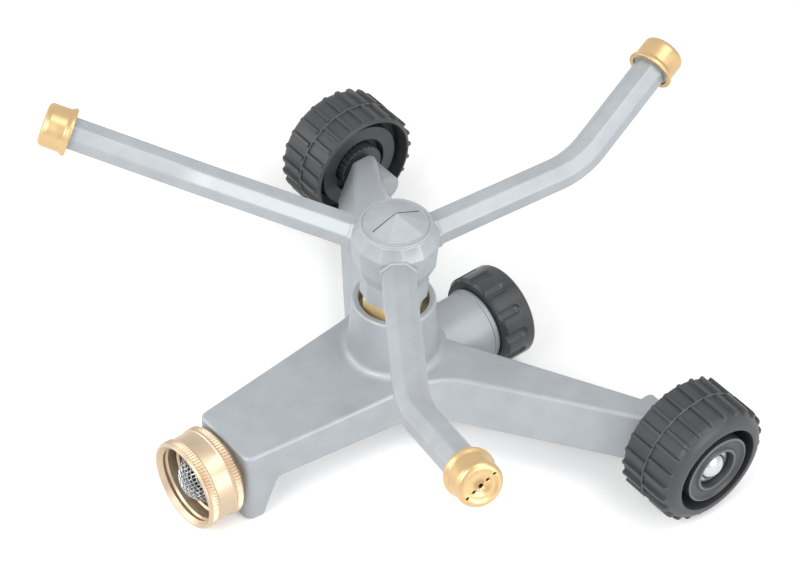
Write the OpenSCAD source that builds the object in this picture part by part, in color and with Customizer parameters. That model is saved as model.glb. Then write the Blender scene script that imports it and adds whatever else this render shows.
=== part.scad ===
// Three-arm rotary sprinkler on a cast base with two wheels and a capped flow-through outlet.
// Millimetres. The part stands on z = 0 with its origin in the middle of the foot's flat pad.
// X runs along the water pipe from the hose inlet (-X) to the outlet (+X), and Z is up.
// The rotor turns about a vertical axis that stands rotor_x along X.

/* [Layout] */
// Distance from the foot pad to the rotor axis
rotor_x = 71.5; // [68:0.5:76]
// Height of the water pipe's centre line above the ground
pipe_z = 18.1; // [16.8:0.1:19]
// Direction of the first arm about the rotor axis, in degrees from +X
arm_heading = -124.6; // [-180:0.1:180]

/* [Cast base] */
// Height of the flat top of the legs
leg_top_z = 31.4; // [30.5:0.1:34]
// Wall of the legs, which are open underneath
leg_wall = 3; // [2.4:0.1:4]
// Distance from the rotor axis to the end face of the front leg
front_leg_len = 75.3; // [73:0.1:80]
// Width of the front leg at its end face
front_leg_end_w = 28.2; // [26:0.1:32]
// Width that the front leg would reach at the rotor axis
front_leg_root_w = 43.8; // [40:0.1:50]
// Depth of the front leg's sides next to the foot
front_side_depth = 14.8; // [13:0.1:17]
// Rounding of the front leg's upright corners
front_corner_r = 3.5; // [1:0.1:6]
// Radius that blends the front leg into each rear leg
leg_blend_r = 27; // [15:0.5:35]
// Width that a rear leg would reach at the rotor axis, measured along X
rear_leg_root_w = 24.6; // [22:0.1:30]
// Width of a rear leg at its end, measured along X
rear_leg_end_w = 9.6; // [8.6:0.1:14]
// Distance from the centre line to the end of a rear leg
rear_leg_reach = 86; // [80:0.1:95]
// How far the middle of a rear leg's end lies in front of the axle
rear_leg_lead = 1.3; // [0:0.1:2]
// Depth of the rear legs' sides
rear_side_depth = 16.2; // [15.4:0.1:22]
// How far a rear leg's long sides lean outwards from its top to its underside
leg_flare = 6; // [0:0.1:7]
// Rounding of the corners of a rear leg's end
rear_corner_r = 2; // [0.5:0.1:3]
// Length of the foot's flat pad along X
foot_pad_len = 3.8; // [2:0.1:5]
// Rounding of the foot's lower edges
foot_edge_r = 2; // [0.5:0.1:3]
// Length of the foot where it leaves the front leg
foot_root_len = 13.5; // [12:0.1:16]

/* [Barrel and water way] */
// Radius of the barrel just above its foot fillet
barrel_foot_r = 16.2; // [15.8:0.1:18]
// Radius of the barrel at its top
barrel_top_r = 14.9; // [14.5:0.1:15.6]
// Height of the barrel's top rim
barrel_top_z = 55.1; // [53:0.1:60]
// Fillet where the barrel meets the legs
barrel_fillet_r = 3; // [1:0.1:3]
// Rounding of the barrel's top rim
barrel_rim_r = 1; // [0.4:0.1:1.2]
// Outer radius of the pipe under the front leg
pipe_r = 9.5; // [9:0.1:10]
// Radius of the water way along the pipe
water_r = 6; // [4:0.1:6.5]
// Radius of the nut's threaded hole in the barrel
nut_thread_r = 9.5; // [9.2:0.1:10.5]
// Height of the lowest point of the threaded hole
nut_thread_z = 29; // [27:0.1:30]
// Depth of the recess that holds the bearing nut
nut_recess_depth = 5.1; // [3:0.1:7]
// Gap between the nut's corners and the wall of its recess
nut_recess_gap = 0.95; // [0.3:0.05:1.2]

/* [Outlet] */
// Outer radius of the outlet tube
outlet_r = 13.6; // [13:0.1:14]
// Distance from the rotor axis to the lip of the outlet tube
outlet_lip_x = 37.6; // [34:0.1:42]
// Length of the lip
outlet_lip_len = 1.8; // [1:0.1:2.5]
// How far the lip stands out of the tube
outlet_lip_h = 0.5; // [0.2:0.1:1]
// Crest radius of the outlet's male hose thread
outlet_thread_r = 13.3; // [12.8:0.1:13.6]
// Length of the outlet's thread
outlet_thread_len = 8.6; // [7:0.1:10]
// Pitch of the hose thread, 11.5 turns to the inch
hose_pitch = 2.209; // [1.8:0.001:2.6]
// Depth of the hose thread's grooves
hose_thread_depth = 0.9; // [0.5:0.05:1.1]
// Outer radius of the outlet cap
cap_r = 17.8; // [17.4:0.1:20]
// Thickness of the outlet cap's closed end
cap_end_t = 3.3; // [2.6:0.1:5]
// Gap between the tube's lip and the cap
cap_lip_gap = 0.3; // [0.2:0.1:1]
// Number of grip flutes round the cap
cap_flutes = 12; // [6:1:14]
// Radius of a grip flute
cap_flute_r = 2.4; // [1.5:0.1:3]
// Depth of a grip flute
cap_flute_depth = 1.1; // [0.5:0.1:1.6]
// Rounding of the cap's far edge
cap_round = 1.2; // [0.6:0.1:2]
// Bevel of the cap's near edge
cap_bevel = 1.2; // [0.5:0.1:2]
// Distance between the grip flutes and the cap's far end
cap_flute_end = 6; // [4:0.1:7]
// Thickness of the rubber washer in the cap
cap_washer_t = 2; // [1:0.1:2.6]

/* [Hose coupling] */
// Outer radius of the coupling's knurled bands
coupling_r = 16.6; // [16:0.1:16.8]
// Length of the coupling
coupling_len = 14.8; // [13.5:0.1:18]
// Width of each knurled band
knurl_band_w = 3.8; // [2:0.1:5]
// Number of flutes round a knurled band
knurl_count = 60; // [40:1:72]
// Depth of the knurl flutes
knurl_depth = 0.35; // [0.2:0.05:0.5]
// How far the waist lies below the bands
waist_depth = 0.45; // [0.3:0.05:0.8]
// Chamfer inside the coupling's mouth
coupling_chamfer = 1.1; // [0.5:0.1:1.4]
// Thickness of the coupling's back wall
coupling_back_t = 2.7; // [2:0.1:3.5]
// Crest radius of the coupling's female hose thread
coupling_thread_r = 12.8; // [12.4:0.1:13.2]
// Thickness of the nipple's collar between the leg and the coupling
nipple_collar_t = 2.2; // [1.5:0.1:3]
// Radius of the nipple's neck, on which the coupling turns
nipple_neck_r = 9; // [8.5:0.1:10]
// Radius of the nipple's flange, which keeps the coupling on
nipple_flange_r = 11.4; // [10.6:0.1:12]
// Thickness of the nipple's flange
nipple_flange_t = 2.1; // [1.5:0.1:3]
// Radius of the nipple's tail in the casting
nipple_tail_r = 7.6; // [7.2:0.1:8]
// Length of the nipple's tail in the casting
nipple_tail_len = 14; // [10:0.1:20]
// Thickness of the hose washer
hose_washer_t = 2.4; // [1.5:0.1:3]
// Rim radius of the filter's mesh dome
dome_rim_r = 9; // [8:0.1:9.5]
// Width of the filter's flat rim
dome_flange_w = 1.2; // [0.8:0.1:1.8]
// Height of the mesh dome
dome_h = 6.2; // [4:0.1:6.8]
// Thickness of the mesh
mesh_t = 0.5; // [0.4:0.05:0.8]
// Distance between the mesh's wires
mesh_pitch = 1.5; // [1.4:0.05:2.4]
// Width of the mesh's wires
mesh_wire = 0.55; // [0.4:0.05:0.7]

/* [Bearing] */
// Width of the brass bearing nut across its flats
nut_af = 20; // [18:0.1:21]
// Direction of a corner of the nut, in degrees from +X
nut_heading = 10; // [0:1:59]
// Height of the nut's hexagon
nut_hex_h = 8; // [6:0.1:9]
// Length of the nut's threaded shank
nut_shank_h = 12; // [8:0.1:13]
// Thickness of the gasket under the nut
nut_gasket_t = 0.6; // [0.3:0.1:1]
// Outer radius of the hollow spindle
spindle_r = 5.5; // [5:0.1:6]
// Radius of the water way in the spindle
spindle_bore_r = 3.6; // [2.5:0.1:4]
// Radius of the spindle's flange
spindle_flange_r = 8.6; // [8:0.1:9]
// Thickness of the spindle's flange
spindle_flange_t = 2.5; // [1.5:0.1:3]
// Thickness of the rubber bearing washer
bearing_rubber_t = 1.8; // [1:0.1:2.2]
// Thickness of the plastic slip washer
slip_washer_t = 1.2; // [0.6:0.1:1.6]
// Thickness of the steel thrust washer
thrust_washer_t = 0.8; // [0.5:0.1:1]

/* [Rotor head] */
// Gap between the bearing nut and the head's neck
neck_gap = 0.9; // [0.6:0.1:2]
// Corner radius of the neck, which has twelve sides
neck_r = 12.3; // [11.6:0.1:13]
// Height of the neck
neck_h = 9; // [7:0.1:9.4]
// Corner radius of the head where it is widest
head_r = 15.7; // [15:0.1:17]
// Height of the head above its neck
head_h = 21.9; // [20:0.1:23]
// Corner radius at the top of the narrow facets just above the neck
head_flare_r = 12.9; // [12.3:0.1:14]
// Height of the narrow facets just above the neck
head_flare_h = 1.5; // [0.8:0.1:3]
// Corner radius at the top of the flared facets
head_shoulder_r = 15.1; // [14:0.1:16]
// Height of the flared facets' top edge above the neck
head_shoulder_h = 6.5; // [5:0.1:8]
// Height of the widest level above the neck
head_wide_h = 16; // [12:0.1:18]
// Height of the round top rim
head_rim_h = 0.9; // [0.5:0.1:1.5]
// Radius of the head's round top rim
head_rim_r = 12.7; // [12.4:0.1:13.4]
// Radius of the chamber that feeds the arms
chamber_r = 9.4; // [8.8:0.1:9.6]
// Radius of the cap's seat
cap_seat_r = 11.7; // [11.2:0.1:12]
// Cord thickness of the sealing ring in the neck
head_seal_d = 1.6; // [1:0.1:2]
// Distance from the neck's lower end to its sealing ring
head_seal_inset = 0.6; // [0.5:0.1:2]
// Cord thickness of the sealing ring round the cap's plug
cap_seal_d = 1.2; // [0.8:0.1:1.2]
// Thickness of the rotor cap at its edge
rotor_cap_t = 2.4; // [1.6:0.1:3]
// Height of the rotor cap's pyramid
pyramid_h = 4.5; // [3:0.1:8]
// Distance from the pyramid's corners to the cap's edge
pyramid_inset = 0.5; // [0.2:0.1:1.5]
// Number of faces on the pyramid
pyramid_sides = 10; // [8:1:12]

/* [Arms] */
// Number of arms
arm_count = 3; // [3:1:3]
// Height of the arms above the neck's lower end
arm_rise = 19.8; // [19.2:0.1:20.2]
// Width of an arm across its flats
arm_af = 11.6; // [11:0.1:12.4]
// Radius of the water way in an arm
arm_bore_r = 3.4; // [2:0.1:4]
// How much narrower the water way is in the bend
bend_bore_step = 0.3; // [0.2:0.1:1]
// Radius of the arm's round root in the head
arm_root_r = 5; // [4.6:0.1:5.2]
// Width of the head's eight-sided boss round an arm, across its flats
arm_boss_af = 12.9; // [12:0.1:14]
// Distance from the rotor axis to the face of the boss
arm_boss_reach = 15.9; // [15.8:0.1:19]
// Distance from the rotor axis to the corner of the bend
arm_reach = 77.9; // [60:0.1:90]
// Length from the corner of the bend to the nozzle's open rim
arm_tip_len = 46.8; // [40:0.1:60]
// Angle of the bend
bend_angle = 25.8; // [15:0.1:35]
// Direction of the bend above the horizontal, seen along the arm
bend_roll = 46.9; // [20:0.1:70]
// Centre-line radius of the bend
bend_r = 42; // [25:0.5:60]

/* [Nozzles] */
// Outer radius of a brass nozzle cap
nozzle_r = 8.8; // [8.4:0.1:10]
// Length of a nozzle cap
nozzle_len = 10.5; // [10.4:0.1:14]
// Wall of a nozzle cap
nozzle_wall = 1.7; // [1:0.1:1.8]
// Thickness of a nozzle cap's drilled end
nozzle_end_t = 2; // [1.5:0.1:2.4]
// Rounding of the edge of a nozzle cap's end
nozzle_edge_r = 2; // [0.8:0.1:2]
// Length of the rim band round a nozzle cap's open end
nozzle_band_len = 0.8; // [0.5:0.1:1.5]
// How far the rim band stands out
nozzle_band_h = 0.8; // [0.1:0.05:0.9]
// Gap between an arm's end and the drilled end of its nozzle cap
arm_end_gap = 1.4; // [0.8:0.1:2]
// Radius of the middle jet hole
jet_mid_r = 0.9; // [0.5:0.05:1.2]
// Radius of the other jet holes
jet_r = 0.6; // [0.3:0.05:0.9]
// Distance between jet holes
jet_pitch = 2.9; // [2.4:0.1:3]
// Angle of the row of jets about the nozzle's axis
jet_row_angle = -12; // [-180:1:180]
// Length of the arm's end collar inside the nozzle
collar_len = 3; // [2:0.1:3.4]
// How far the collar lies inside the nozzle's rim
collar_inset = 0.6; // [0.6:0.1:1.6]
// Cord thickness of the nozzle's sealing ring
nozzle_ring_d = 1.6; // [1:0.1:1.8]

/* [Wheels] */
// Radius over the lugs of a wheel, and height of the axle above the ground
wheel_r = 23.6; // [23.2:0.1:25]
// Width of a wheel
wheel_w = 24.4; // [21:0.1:26]
// Distance from the rotor axis to the axle, along X
axle_x = 55.8; // [50:0.1:62]
// Gap between a rear leg's end and the wheel's inner face
wheel_gap = 0.6; // [0.4:0.1:2]
// Height of the lugs
lug_h = 1.3; // [0.6:0.1:1.6]
// Number of lugs in each of the two rows
lug_count = 24; // [14:1:26]
// Width of a lug round the tread
lug_w = 2.2; // [1.6:0.1:3]
// Gap between the rows of lugs
lug_row_gap = 0.8; // [0.4:0.1:2]
// Distance from the wheel's inner face to the first row of lugs
lug_start = 1.2; // [0.6:0.1:2]
// Distance from the wheel's inner face to the middle of the gap between the rows
lug_middle = 10.6; // [9:0.1:12]
// Length of the wheel's rounded outer shoulder along the axle
shoulder_len = 4.6; // [3:0.1:7]
// How far the outer row of lugs runs on over the shoulder
lug_overrun = 2; // [0:0.1:2]
// Bevel of the tread's inner edge
tread_bevel = 0.8; // [0.3:0.1:1]
// Outer radius of the groove in the wheel's outer face
rim_in_r = 16.9; // [16.2:0.1:17.1]
// Width of the flat lip between that groove and the shoulder
rim_lip_w = 0.5; // [0.2:0.1:1.5]
// Outer radius of the hub in the wheel's outer face
hub_r = 13.3; // [12:0.1:14]
// Depth of the groove between rim and hub
groove_depth = 13; // [8:0.1:14]
// Outer radius of the deep groove in the wheel's inner face
inner_rim_r = 20.9; // [20:0.1:21.1]
// Inner radius of that groove
web_r = 17.3; // [17.2:0.1:18.5]
// Depth of that groove
inner_groove_depth = 8; // [4:0.1:9]
// How far the web lies inside the wheel's inner face
web_depth = 3; // [2:0.1:5]
// Outer radius of the small groove round the hub's inner end
hub_groove_r = 11.6; // [10.5:0.1:13]
// Depth of that groove
hub_groove_depth = 7; // [5:0.1:9]
// Outer radius of the hub's inner end
hub_in_r = 9.3; // [8:0.1:10]
// How far the hub's inner end lies inside the wheel's inner face
hub_in = 1.4; // [1:0.1:2.5]
// Gap between that end and the boss of the leg
hub_boss_gap = 0.3; // [0.2:0.1:0.6]
// Radius of the recess for the axle's head
head_recess_r = 7.6; // [7.2:0.1:9]
// Depth of the recess for the axle's head
head_recess_depth = 3.5; // [3.2:0.1:6]
// Radius of the axle pins
axle_r = 3; // [2.6:0.1:3.6]
// Radius of the axle's domed head
axle_head_r = 5.2; // [4.2:0.1:5.6]
// Height of the axle's domed head
axle_head_h = 2.6; // [1.6:0.1:3]
// Radius of the washer under the axle's head
axle_washer_r = 6.4; // [6:0.1:7]
// Thickness of the washer under the axle's head
axle_washer_t = 0.8; // [0.5:0.1:1.2]
// Radius of the boss that holds the axle in the leg
axle_boss_r = 5.5; // [5:0.1:6]
// Length of the axle's grip in the leg
axle_grip = 14; // [10:0.1:18]

/* [Hidden] */
// Radial clearance of every turning fit
run_gap = 0.05;
// How far joined lengths of one piece run into each other
lap = 0.5;
// How much one of two joined lengths is larger than the other
lap_step = 0.05;
// Clearance between a turning face and its stop
face_gap = 0.15;
// Clearance between pieces of one body
seat_gap = 0.02;
// Gap that keeps a loose washer clear of its bore or seat
loose_gap = 0.3;
// Overshoot of cutting shapes
cut = 1;
// Facets of the round shapes
$fn = 96;
// Points on a rounded corner of an outline
corner_steps = 6;
// Sides of the head
head_sides = 12;
// Half width of a thread groove at the crest, as a share of the pitch
groove_half = 0.36;
// Overshoot of a thread groove past its crest
groove_over = 0.05;
// Corners of one knurl flute, as shares of the distance between flutes, and whether each is deep
knurl_steps = [[0, 0], [0.45, 0], [0.6, 1], [0.85, 1]];

// Places along X, counted from the rotor axis
inlet_face_x = -front_leg_len;
coupling_back_x = inlet_face_x - nipple_collar_t - face_gap;
coupling_front_x = coupling_back_x - coupling_len;
coupling_floor_x = coupling_back_x - coupling_back_t;
flange_back_x = coupling_floor_x - face_gap;
flange_front_x = flange_back_x - nipple_flange_t;
washer_front_x = flange_front_x - hose_washer_t;
outlet_thread_x = outlet_lip_x + outlet_lip_len;
outlet_end_x = outlet_thread_x + outlet_thread_len;
cap_near_x = outlet_thread_x + cap_lip_gap;
cap_floor_x = outlet_end_x + cap_washer_t;
cap_far_x = cap_floor_x + cap_end_t;
// Heights
nut_seat_z = barrel_top_z - nut_recess_depth;
nut_under_z = nut_seat_z + nut_gasket_t;
nut_top_z = nut_under_z + nut_hex_h;
nut_shank_z = nut_under_z - nut_shank_h;
neck_z = nut_top_z + neck_gap;
shoulder_z = neck_z + neck_h;
head_top_z = shoulder_z + head_h;
cap_seat_z = head_top_z - rotor_cap_t;
arm_z = neck_z + arm_rise;
stack_top_z = nut_shank_z - run_gap;
spindle_flange_z = stack_top_z - thrust_washer_t - slip_washer_t - bearing_rubber_t;
spindle_z = spindle_flange_z - spindle_flange_t;
head_rim_z = head_top_z - head_rim_h;
head_seal_z = neck_z + head_seal_inset + head_seal_d / 2;
cap_plug_h = cap_seat_z - arm_z - arm_root_r - loose_gap;
cap_seal_z = cap_seat_z - cap_plug_h / 2;
// Recess round the nut
nut_recess_r = nut_af / 2 / cos(30) + nut_recess_gap;
// Levels of the head as corner radius and height, from the neck to the top rim
head_levels = [
    [neck_r, neck_z],
    [neck_r, shoulder_z],
    [head_flare_r, shoulder_z + head_flare_h],
    [head_shoulder_r, shoulder_z + head_shoulder_h],
    [head_r, shoulder_z + head_wide_h],
    [head_rim_r + loose_gap, head_rim_z]];
// Wheels, measured outwards from the wheel's inner face
wheel_in_y = rear_leg_reach + wheel_gap;
washer_seat = wheel_w - head_recess_depth;
axle_boss_y = wheel_in_y + hub_in - hub_boss_gap;
axle_boss_len = axle_boss_y - rear_leg_reach + axle_grip;
axle_hole_len = axle_boss_len - leg_wall;
// Arms
bend_tangent = bend_r * tan(bend_angle / 2);
arm_end_len = arm_tip_len + nozzle_len - nozzle_end_t - arm_end_gap;
collar_r = nozzle_r - nozzle_wall - run_gap;
// Mesh dome
dome_ball_r = (dome_h * dome_h + dome_rim_r * dome_rim_r) / (2 * dome_h);
// Slopes of the rear legs' edges: distance along X for each unit along Y
rear_leg_mid_x = axle_x - rear_leg_lead;
front_edge_slope = (rear_leg_mid_x - rear_leg_end_w / 2 + rear_leg_root_w / 2) / rear_leg_reach;
back_edge_slope = (rear_leg_mid_x + rear_leg_end_w / 2 - rear_leg_root_w / 2) / rear_leg_reach;
// Place where a front edge of a rear leg crosses the side of the front leg
side_slope = (front_leg_root_w - front_leg_end_w) / 2 / front_leg_len;
crossing_y = (front_leg_root_w / 2 - side_slope * rear_leg_root_w / 2)
    / (1 - side_slope * front_edge_slope);
crossing_x = front_edge_slope * crossing_y - rear_leg_root_w / 2;

silver = [0.73, 0.75, 0.78];
brass = [0.86, 0.72, 0.45];
pale_brass = [0.88, 0.76, 0.58];
steel = [0.8, 0.8, 0.8];
charcoal = [0.27, 0.28, 0.29];
rubber = [0.13, 0.13, 0.13];
nylon = [0.92, 0.9, 0.85];
fibre = [0.6, 0.25, 0.18];

// Unit vector from a to b
function unit(a, b) = (b - a) / norm(b - a);

// Arc of radius r that rounds the corner b between a and c
function corner_arc(a, b, c, r) =
    let (u = unit(b, a), v = unit(b, c))
    let (half = acos(max(-1, min(1, u * v))) / 2)
    let (along = r / tan(half), centre = b + (u + v) / norm(u + v) * r / sin(half))
    let (start = b + u * along - centre, turn = cross(u, v) > 0 ? -1 : 1)
    [for (i = [0:corner_steps])
        let (t = turn * i / corner_steps * (180 - 2 * half))
        centre + [start.x * cos(t) - start.y * sin(t), start.x * sin(t) + start.y * cos(t)]];

// Outline whose corners are rounded by their own radii; a radius of 0 leaves a corner sharp
function rounded(points, radii) =
    let (n = len(points))
    [for (i = [0:n - 1])
        let (a = points[(i + n - 1) % n], b = points[i], c = points[(i + 1) % n])
        each (radii[i] > 0 ? corner_arc(a, b, c, radii[i]) : [b])];

// Corners moved inwards by d, for an outline that runs clockwise
function inset(points, d) =
    let (n = len(points))
    [for (i = [0:n - 1])
        let (u = unit(points[(i + n - 1) % n], points[i]), v = unit(points[i], points[(i + 1) % n]))
        let (nu = [u.y, -u.x], nv = [v.y, -v.x])
        points[i] + d * (nu + nv) / (1 + nu * nv)];

// Corners moved so that each edge shifts outwards by its own distance, for a clockwise outline
function pushed(points, shifts) =
    let (n = len(points))
    [for (i = [0:n - 1])
        let (before = (i + n - 1) % n, s = shifts[before], t = shifts[i])
        let (u = unit(points[before], points[i]), v = unit(points[i], points[(i + 1) % n]))
        let (nu = [-u.y, u.x], nv = [-v.y, v.x])
        points[i] + [s * nv.y - t * nu.y, t * nu.x - s * nv.x] / (nu.x * nv.y - nu.y * nv.x)];

// Direction of an arm, in degrees from +X
function arm_angle(k) = arm_heading + 360 / arm_count * k;

// Corners of the legs in plan, clockwise from above, starting between the rear legs
leg_corners = [
    [rear_leg_root_w / 2, 0],
    [rear_leg_mid_x + rear_leg_end_w / 2, -rear_leg_reach],
    [rear_leg_mid_x - rear_leg_end_w / 2, -rear_leg_reach],
    [crossing_x, -crossing_y],
    [-front_leg_len, -front_leg_end_w / 2],
    [-front_leg_len, front_leg_end_w / 2],
    [crossing_x, crossing_y],
    [rear_leg_mid_x - rear_leg_end_w / 2, rear_leg_reach],
    [rear_leg_mid_x + rear_leg_end_w / 2, rear_leg_reach]];
leg_radii = [0, rear_corner_r, rear_corner_r, leg_blend_r, front_corner_r,
    front_corner_r, leg_blend_r, rear_corner_r, rear_corner_r];
// Edges of that outline that lean outwards
leg_leans = [1, 0, 1, 0, 0, 0, 1, 0, 1];

// Outline of the legs at height z, moved inwards by d
function leg_plan(z, d) =
    let (lean = leg_flare * (leg_top_z - z) / rear_side_depth)
    rounded(inset(pushed(leg_corners, lean * leg_leans), d),
        [for (r = leg_radii) r == leg_blend_r ? r + d : max(r - d, 0)]);

// Moves its children from the rotor axis to the part's origin
module at_rotor() {
    translate([rotor_x, 0, 0]) children();
}

// Turns a shape drawn round Z so that it lies round the water pipe, with Z pointing along +X
module along_pipe(x) {
    translate([rotor_x + x, 0, pipe_z]) rotate([0, 90, 0]) children();
}

// Puts a shape drawn round Z on the axle of one side, with Z pointing outwards from the wheel's
// inner face
module on_axle(side) {
    translate([rotor_x + axle_x, side * wheel_in_y, wheel_r]) rotate([-side * 90, 0, 0]) children();
}

// Ring between two radii
module ring(r_out, r_in, h) {
    difference() {
        cylinder(r = r_out, h = h);
        translate([0, 0, -cut]) cylinder(r = r_in, h = h + 2 * cut);
    }
}

// Round sealing ring with the given middle radius and cord thickness
module sealing_ring(mid_r, cord_d) {
    rotate_extrude() translate([mid_r, 0]) circle(d = cord_d);
}

// Thread grooves as plain rings; crest_r is the crest, and depth is negative on a female thread
module thread_rings(crest_r, depth, length) {
    turns = floor(length / hose_pitch);
    half = hose_pitch * groove_half;
    over = sign(depth) * groove_over;
    for (i = [0:turns - 1])
        translate([0, 0, hose_pitch * (i + 0.5)])
            rotate_extrude()
                polygon([[crest_r + over, -half],
                    [crest_r - depth, 0],
                    [crest_r + over, half]]);
}

// Solid between two level outlines with as many points, whose sides may lean. The first point of
// an outline sees all its other points.
module drafted(below, low_z, above, high_z) {
    n = len(below);
    polyhedron(
        concat([for (p = below) [p.x, p.y, low_z]], [for (p = above) [p.x, p.y, high_z]]),
        concat([[for (i = [n:-1:1]) i % n]],
            [[for (i = [0:n - 1]) n + i]],
            [for (i = [0:n - 1]) [i, (i + 1) % n, n + (i + 1) % n, n + i]]));
}

// Walls of the three legs, open underneath; the rear legs' long sides lean outwards
module leg_shell() {
    under_z = leg_top_z - rear_side_depth;
    roof_z = leg_top_z - leg_wall;
    difference() {
        drafted(leg_plan(under_z, 0), under_z, leg_plan(leg_top_z, 0), leg_top_z);
        drafted(leg_plan(under_z - cut, leg_wall), under_z - cut, leg_plan(roof_z, leg_wall), roof_z);
        rotate([90, 0, 0])
            linear_extrude(2 * rear_leg_reach, center = true)
                polygon([[-front_leg_len - cut, under_z - cut],
                    [-front_leg_len - cut, leg_top_z - front_side_depth],
                    [-front_leg_len + foot_root_len, leg_top_z - front_side_depth],
                    [0, under_z],
                    [0, under_z - cut]]);
    }
}

// Foot under the end of the front leg, with a flat pad at the origin
module foot() {
    top_z = leg_top_z - leg_wall / 2;
    foot_corners = [
        [-front_leg_len, top_z],
        [-front_leg_len + foot_root_len, top_z],
        [-front_leg_len + foot_root_len, leg_top_z - front_side_depth],
        [-front_leg_len + foot_pad_len + 2 * foot_edge_r, 0],
        [-front_leg_len, 0]];
    intersection() {
        rotate([90, 0, 0])
            linear_extrude(front_leg_root_w, center = true)
                polygon(rounded(foot_corners, [0, 0, 0, foot_edge_r, foot_edge_r]));
        linear_extrude(leg_top_z) polygon(rounded(leg_corners, leg_radii));
    }
}

// Outside of the barrel, from the pipe's underside to the top rim
module barrel_outside() {
    base_z = pipe_z - pipe_r;
    rim_z = leg_top_z - leg_wall / 2;
    fillet = [for (i = [0:corner_steps])
        let (t = 90 * i / corner_steps)
        [barrel_foot_r + barrel_fillet_r * (1 - sin(t)), leg_top_z + barrel_fillet_r * (1 - cos(t))]];
    rim = [for (i = [0:corner_steps])
        let (t = 90 * i / corner_steps)
        [barrel_top_r - barrel_rim_r * (1 - cos(t)), barrel_top_z - barrel_rim_r * (1 - sin(t))]];
    rotate_extrude()
        polygon(concat([[0, base_z], [nut_thread_r + leg_wall, base_z]],
            [[nut_thread_r + leg_wall, rim_z], [barrel_foot_r + barrel_fillet_r, rim_z]],
            fillet, rim, [[0, barrel_top_z]]));
}

// Inside of the barrel: nut recess, threaded hole and water chamber
module barrel_inside() {
    translate([0, 0, nut_seat_z]) cylinder(r = nut_recess_r, h = nut_recess_depth + cut);
    translate([0, 0, nut_thread_z]) cylinder(r = nut_thread_r, h = nut_seat_z - nut_thread_z + cut);
    translate([0, 0, pipe_z]) cylinder(r = water_r, h = nut_thread_z - pipe_z + cut);
}

module base_casting() color(silver) at_rotor() {
    difference() {
        union() {
            leg_shell();
            foot();
            barrel_outside();
            translate([-front_leg_len, 0, pipe_z]) rotate([0, 90, 0])
                cylinder(r = pipe_r, h = front_leg_len);
            translate([0, 0, pipe_z]) rotate([0, 90, 0])
                cylinder(r = outlet_r, h = outlet_thread_x);
            translate([outlet_lip_x, 0, pipe_z]) rotate([0, 90, 0])
                cylinder(r = outlet_r + outlet_lip_h, h = outlet_lip_len);
            translate([outlet_lip_x, 0, pipe_z]) rotate([0, 90, 0])
                cylinder(r = outlet_thread_r, h = outlet_end_x - outlet_lip_x);
            for (side = [-1, 1])
                translate([axle_x, side * axle_boss_y, wheel_r]) rotate([side * 90, 0, 0])
                    cylinder(r = axle_boss_r, h = axle_boss_len);
        }
        barrel_inside();
        translate([-front_leg_len - cut, 0, pipe_z]) rotate([0, 90, 0])
            cylinder(r = water_r, h = front_leg_len + outlet_end_x + 2 * cut);
        translate([-front_leg_len - cut, 0, pipe_z]) rotate([0, 90, 0])
            cylinder(r = nipple_tail_r, h = nipple_tail_len + cut);
        translate([outlet_thread_x, 0, pipe_z]) rotate([0, 90, 0])
            thread_rings(outlet_thread_r, hose_thread_depth, outlet_thread_len);
        for (side = [-1, 1])
            translate([axle_x, side * (axle_boss_y + cut), wheel_r]) rotate([side * 90, 0, 0])
                cylinder(r = axle_r, h = axle_hole_len + cut);
    }
}

// Brass tail pressed into the casting; its flange keeps the coupling on and lets it turn
module inlet_nipple() color(pale_brass) {
    difference() {
        union() {
            along_pipe(inlet_face_x) cylinder(r = nipple_tail_r, h = nipple_tail_len - seat_gap);
            along_pipe(inlet_face_x - nipple_collar_t)
                cylinder(r = nipple_flange_r, h = nipple_collar_t);
            along_pipe(flange_back_x - cut)
                cylinder(r = nipple_neck_r, h = inlet_face_x - flange_back_x + cut);
            along_pipe(flange_front_x) cylinder(r = nipple_flange_r, h = nipple_flange_t);
        }
        along_pipe(flange_front_x - cut)
            cylinder(r = water_r, h = inlet_face_x + nipple_tail_len - flange_front_x + 2 * cut);
    }
}

// Outline of a knurled band: a circle with evenly spaced flutes
function knurl_outline() = [for (i = [0:knurl_count - 1], step = knurl_steps)
    let (t = 360 * (i + step[0]) / knurl_count, r = coupling_r - step[1] * knurl_depth)
    r * [cos(t), sin(t)]];

module hose_coupling() color(pale_brass) along_pipe(coupling_front_x) {
    difference() {
        union() {
            cylinder(r = coupling_r - waist_depth, h = coupling_len);
            linear_extrude(knurl_band_w) polygon(knurl_outline());
            translate([0, 0, coupling_len - knurl_band_w])
                linear_extrude(knurl_band_w) polygon(knurl_outline());
        }
        translate([0, 0, -cut]) cylinder(r = coupling_thread_r, h = coupling_len - coupling_back_t + cut);
        rotate_extrude()
            polygon([[0, -cut], [coupling_thread_r + coupling_chamfer + cut, -cut],
                [coupling_thread_r, coupling_chamfer], [0, coupling_chamfer]]);
        translate([0, 0, coupling_chamfer])
            thread_rings(coupling_thread_r, -hose_thread_depth,
                coupling_len - coupling_back_t - nipple_flange_t - hose_washer_t - coupling_chamfer);
        translate([0, 0, -cut]) cylinder(r = nipple_neck_r + run_gap, h = coupling_len + 2 * cut);
    }
}

module hose_washer() color(rubber) along_pipe(washer_front_x) {
    ring(coupling_thread_r - loose_gap, dome_rim_r - hose_washer_t, hose_washer_t - seat_gap);
}

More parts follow.
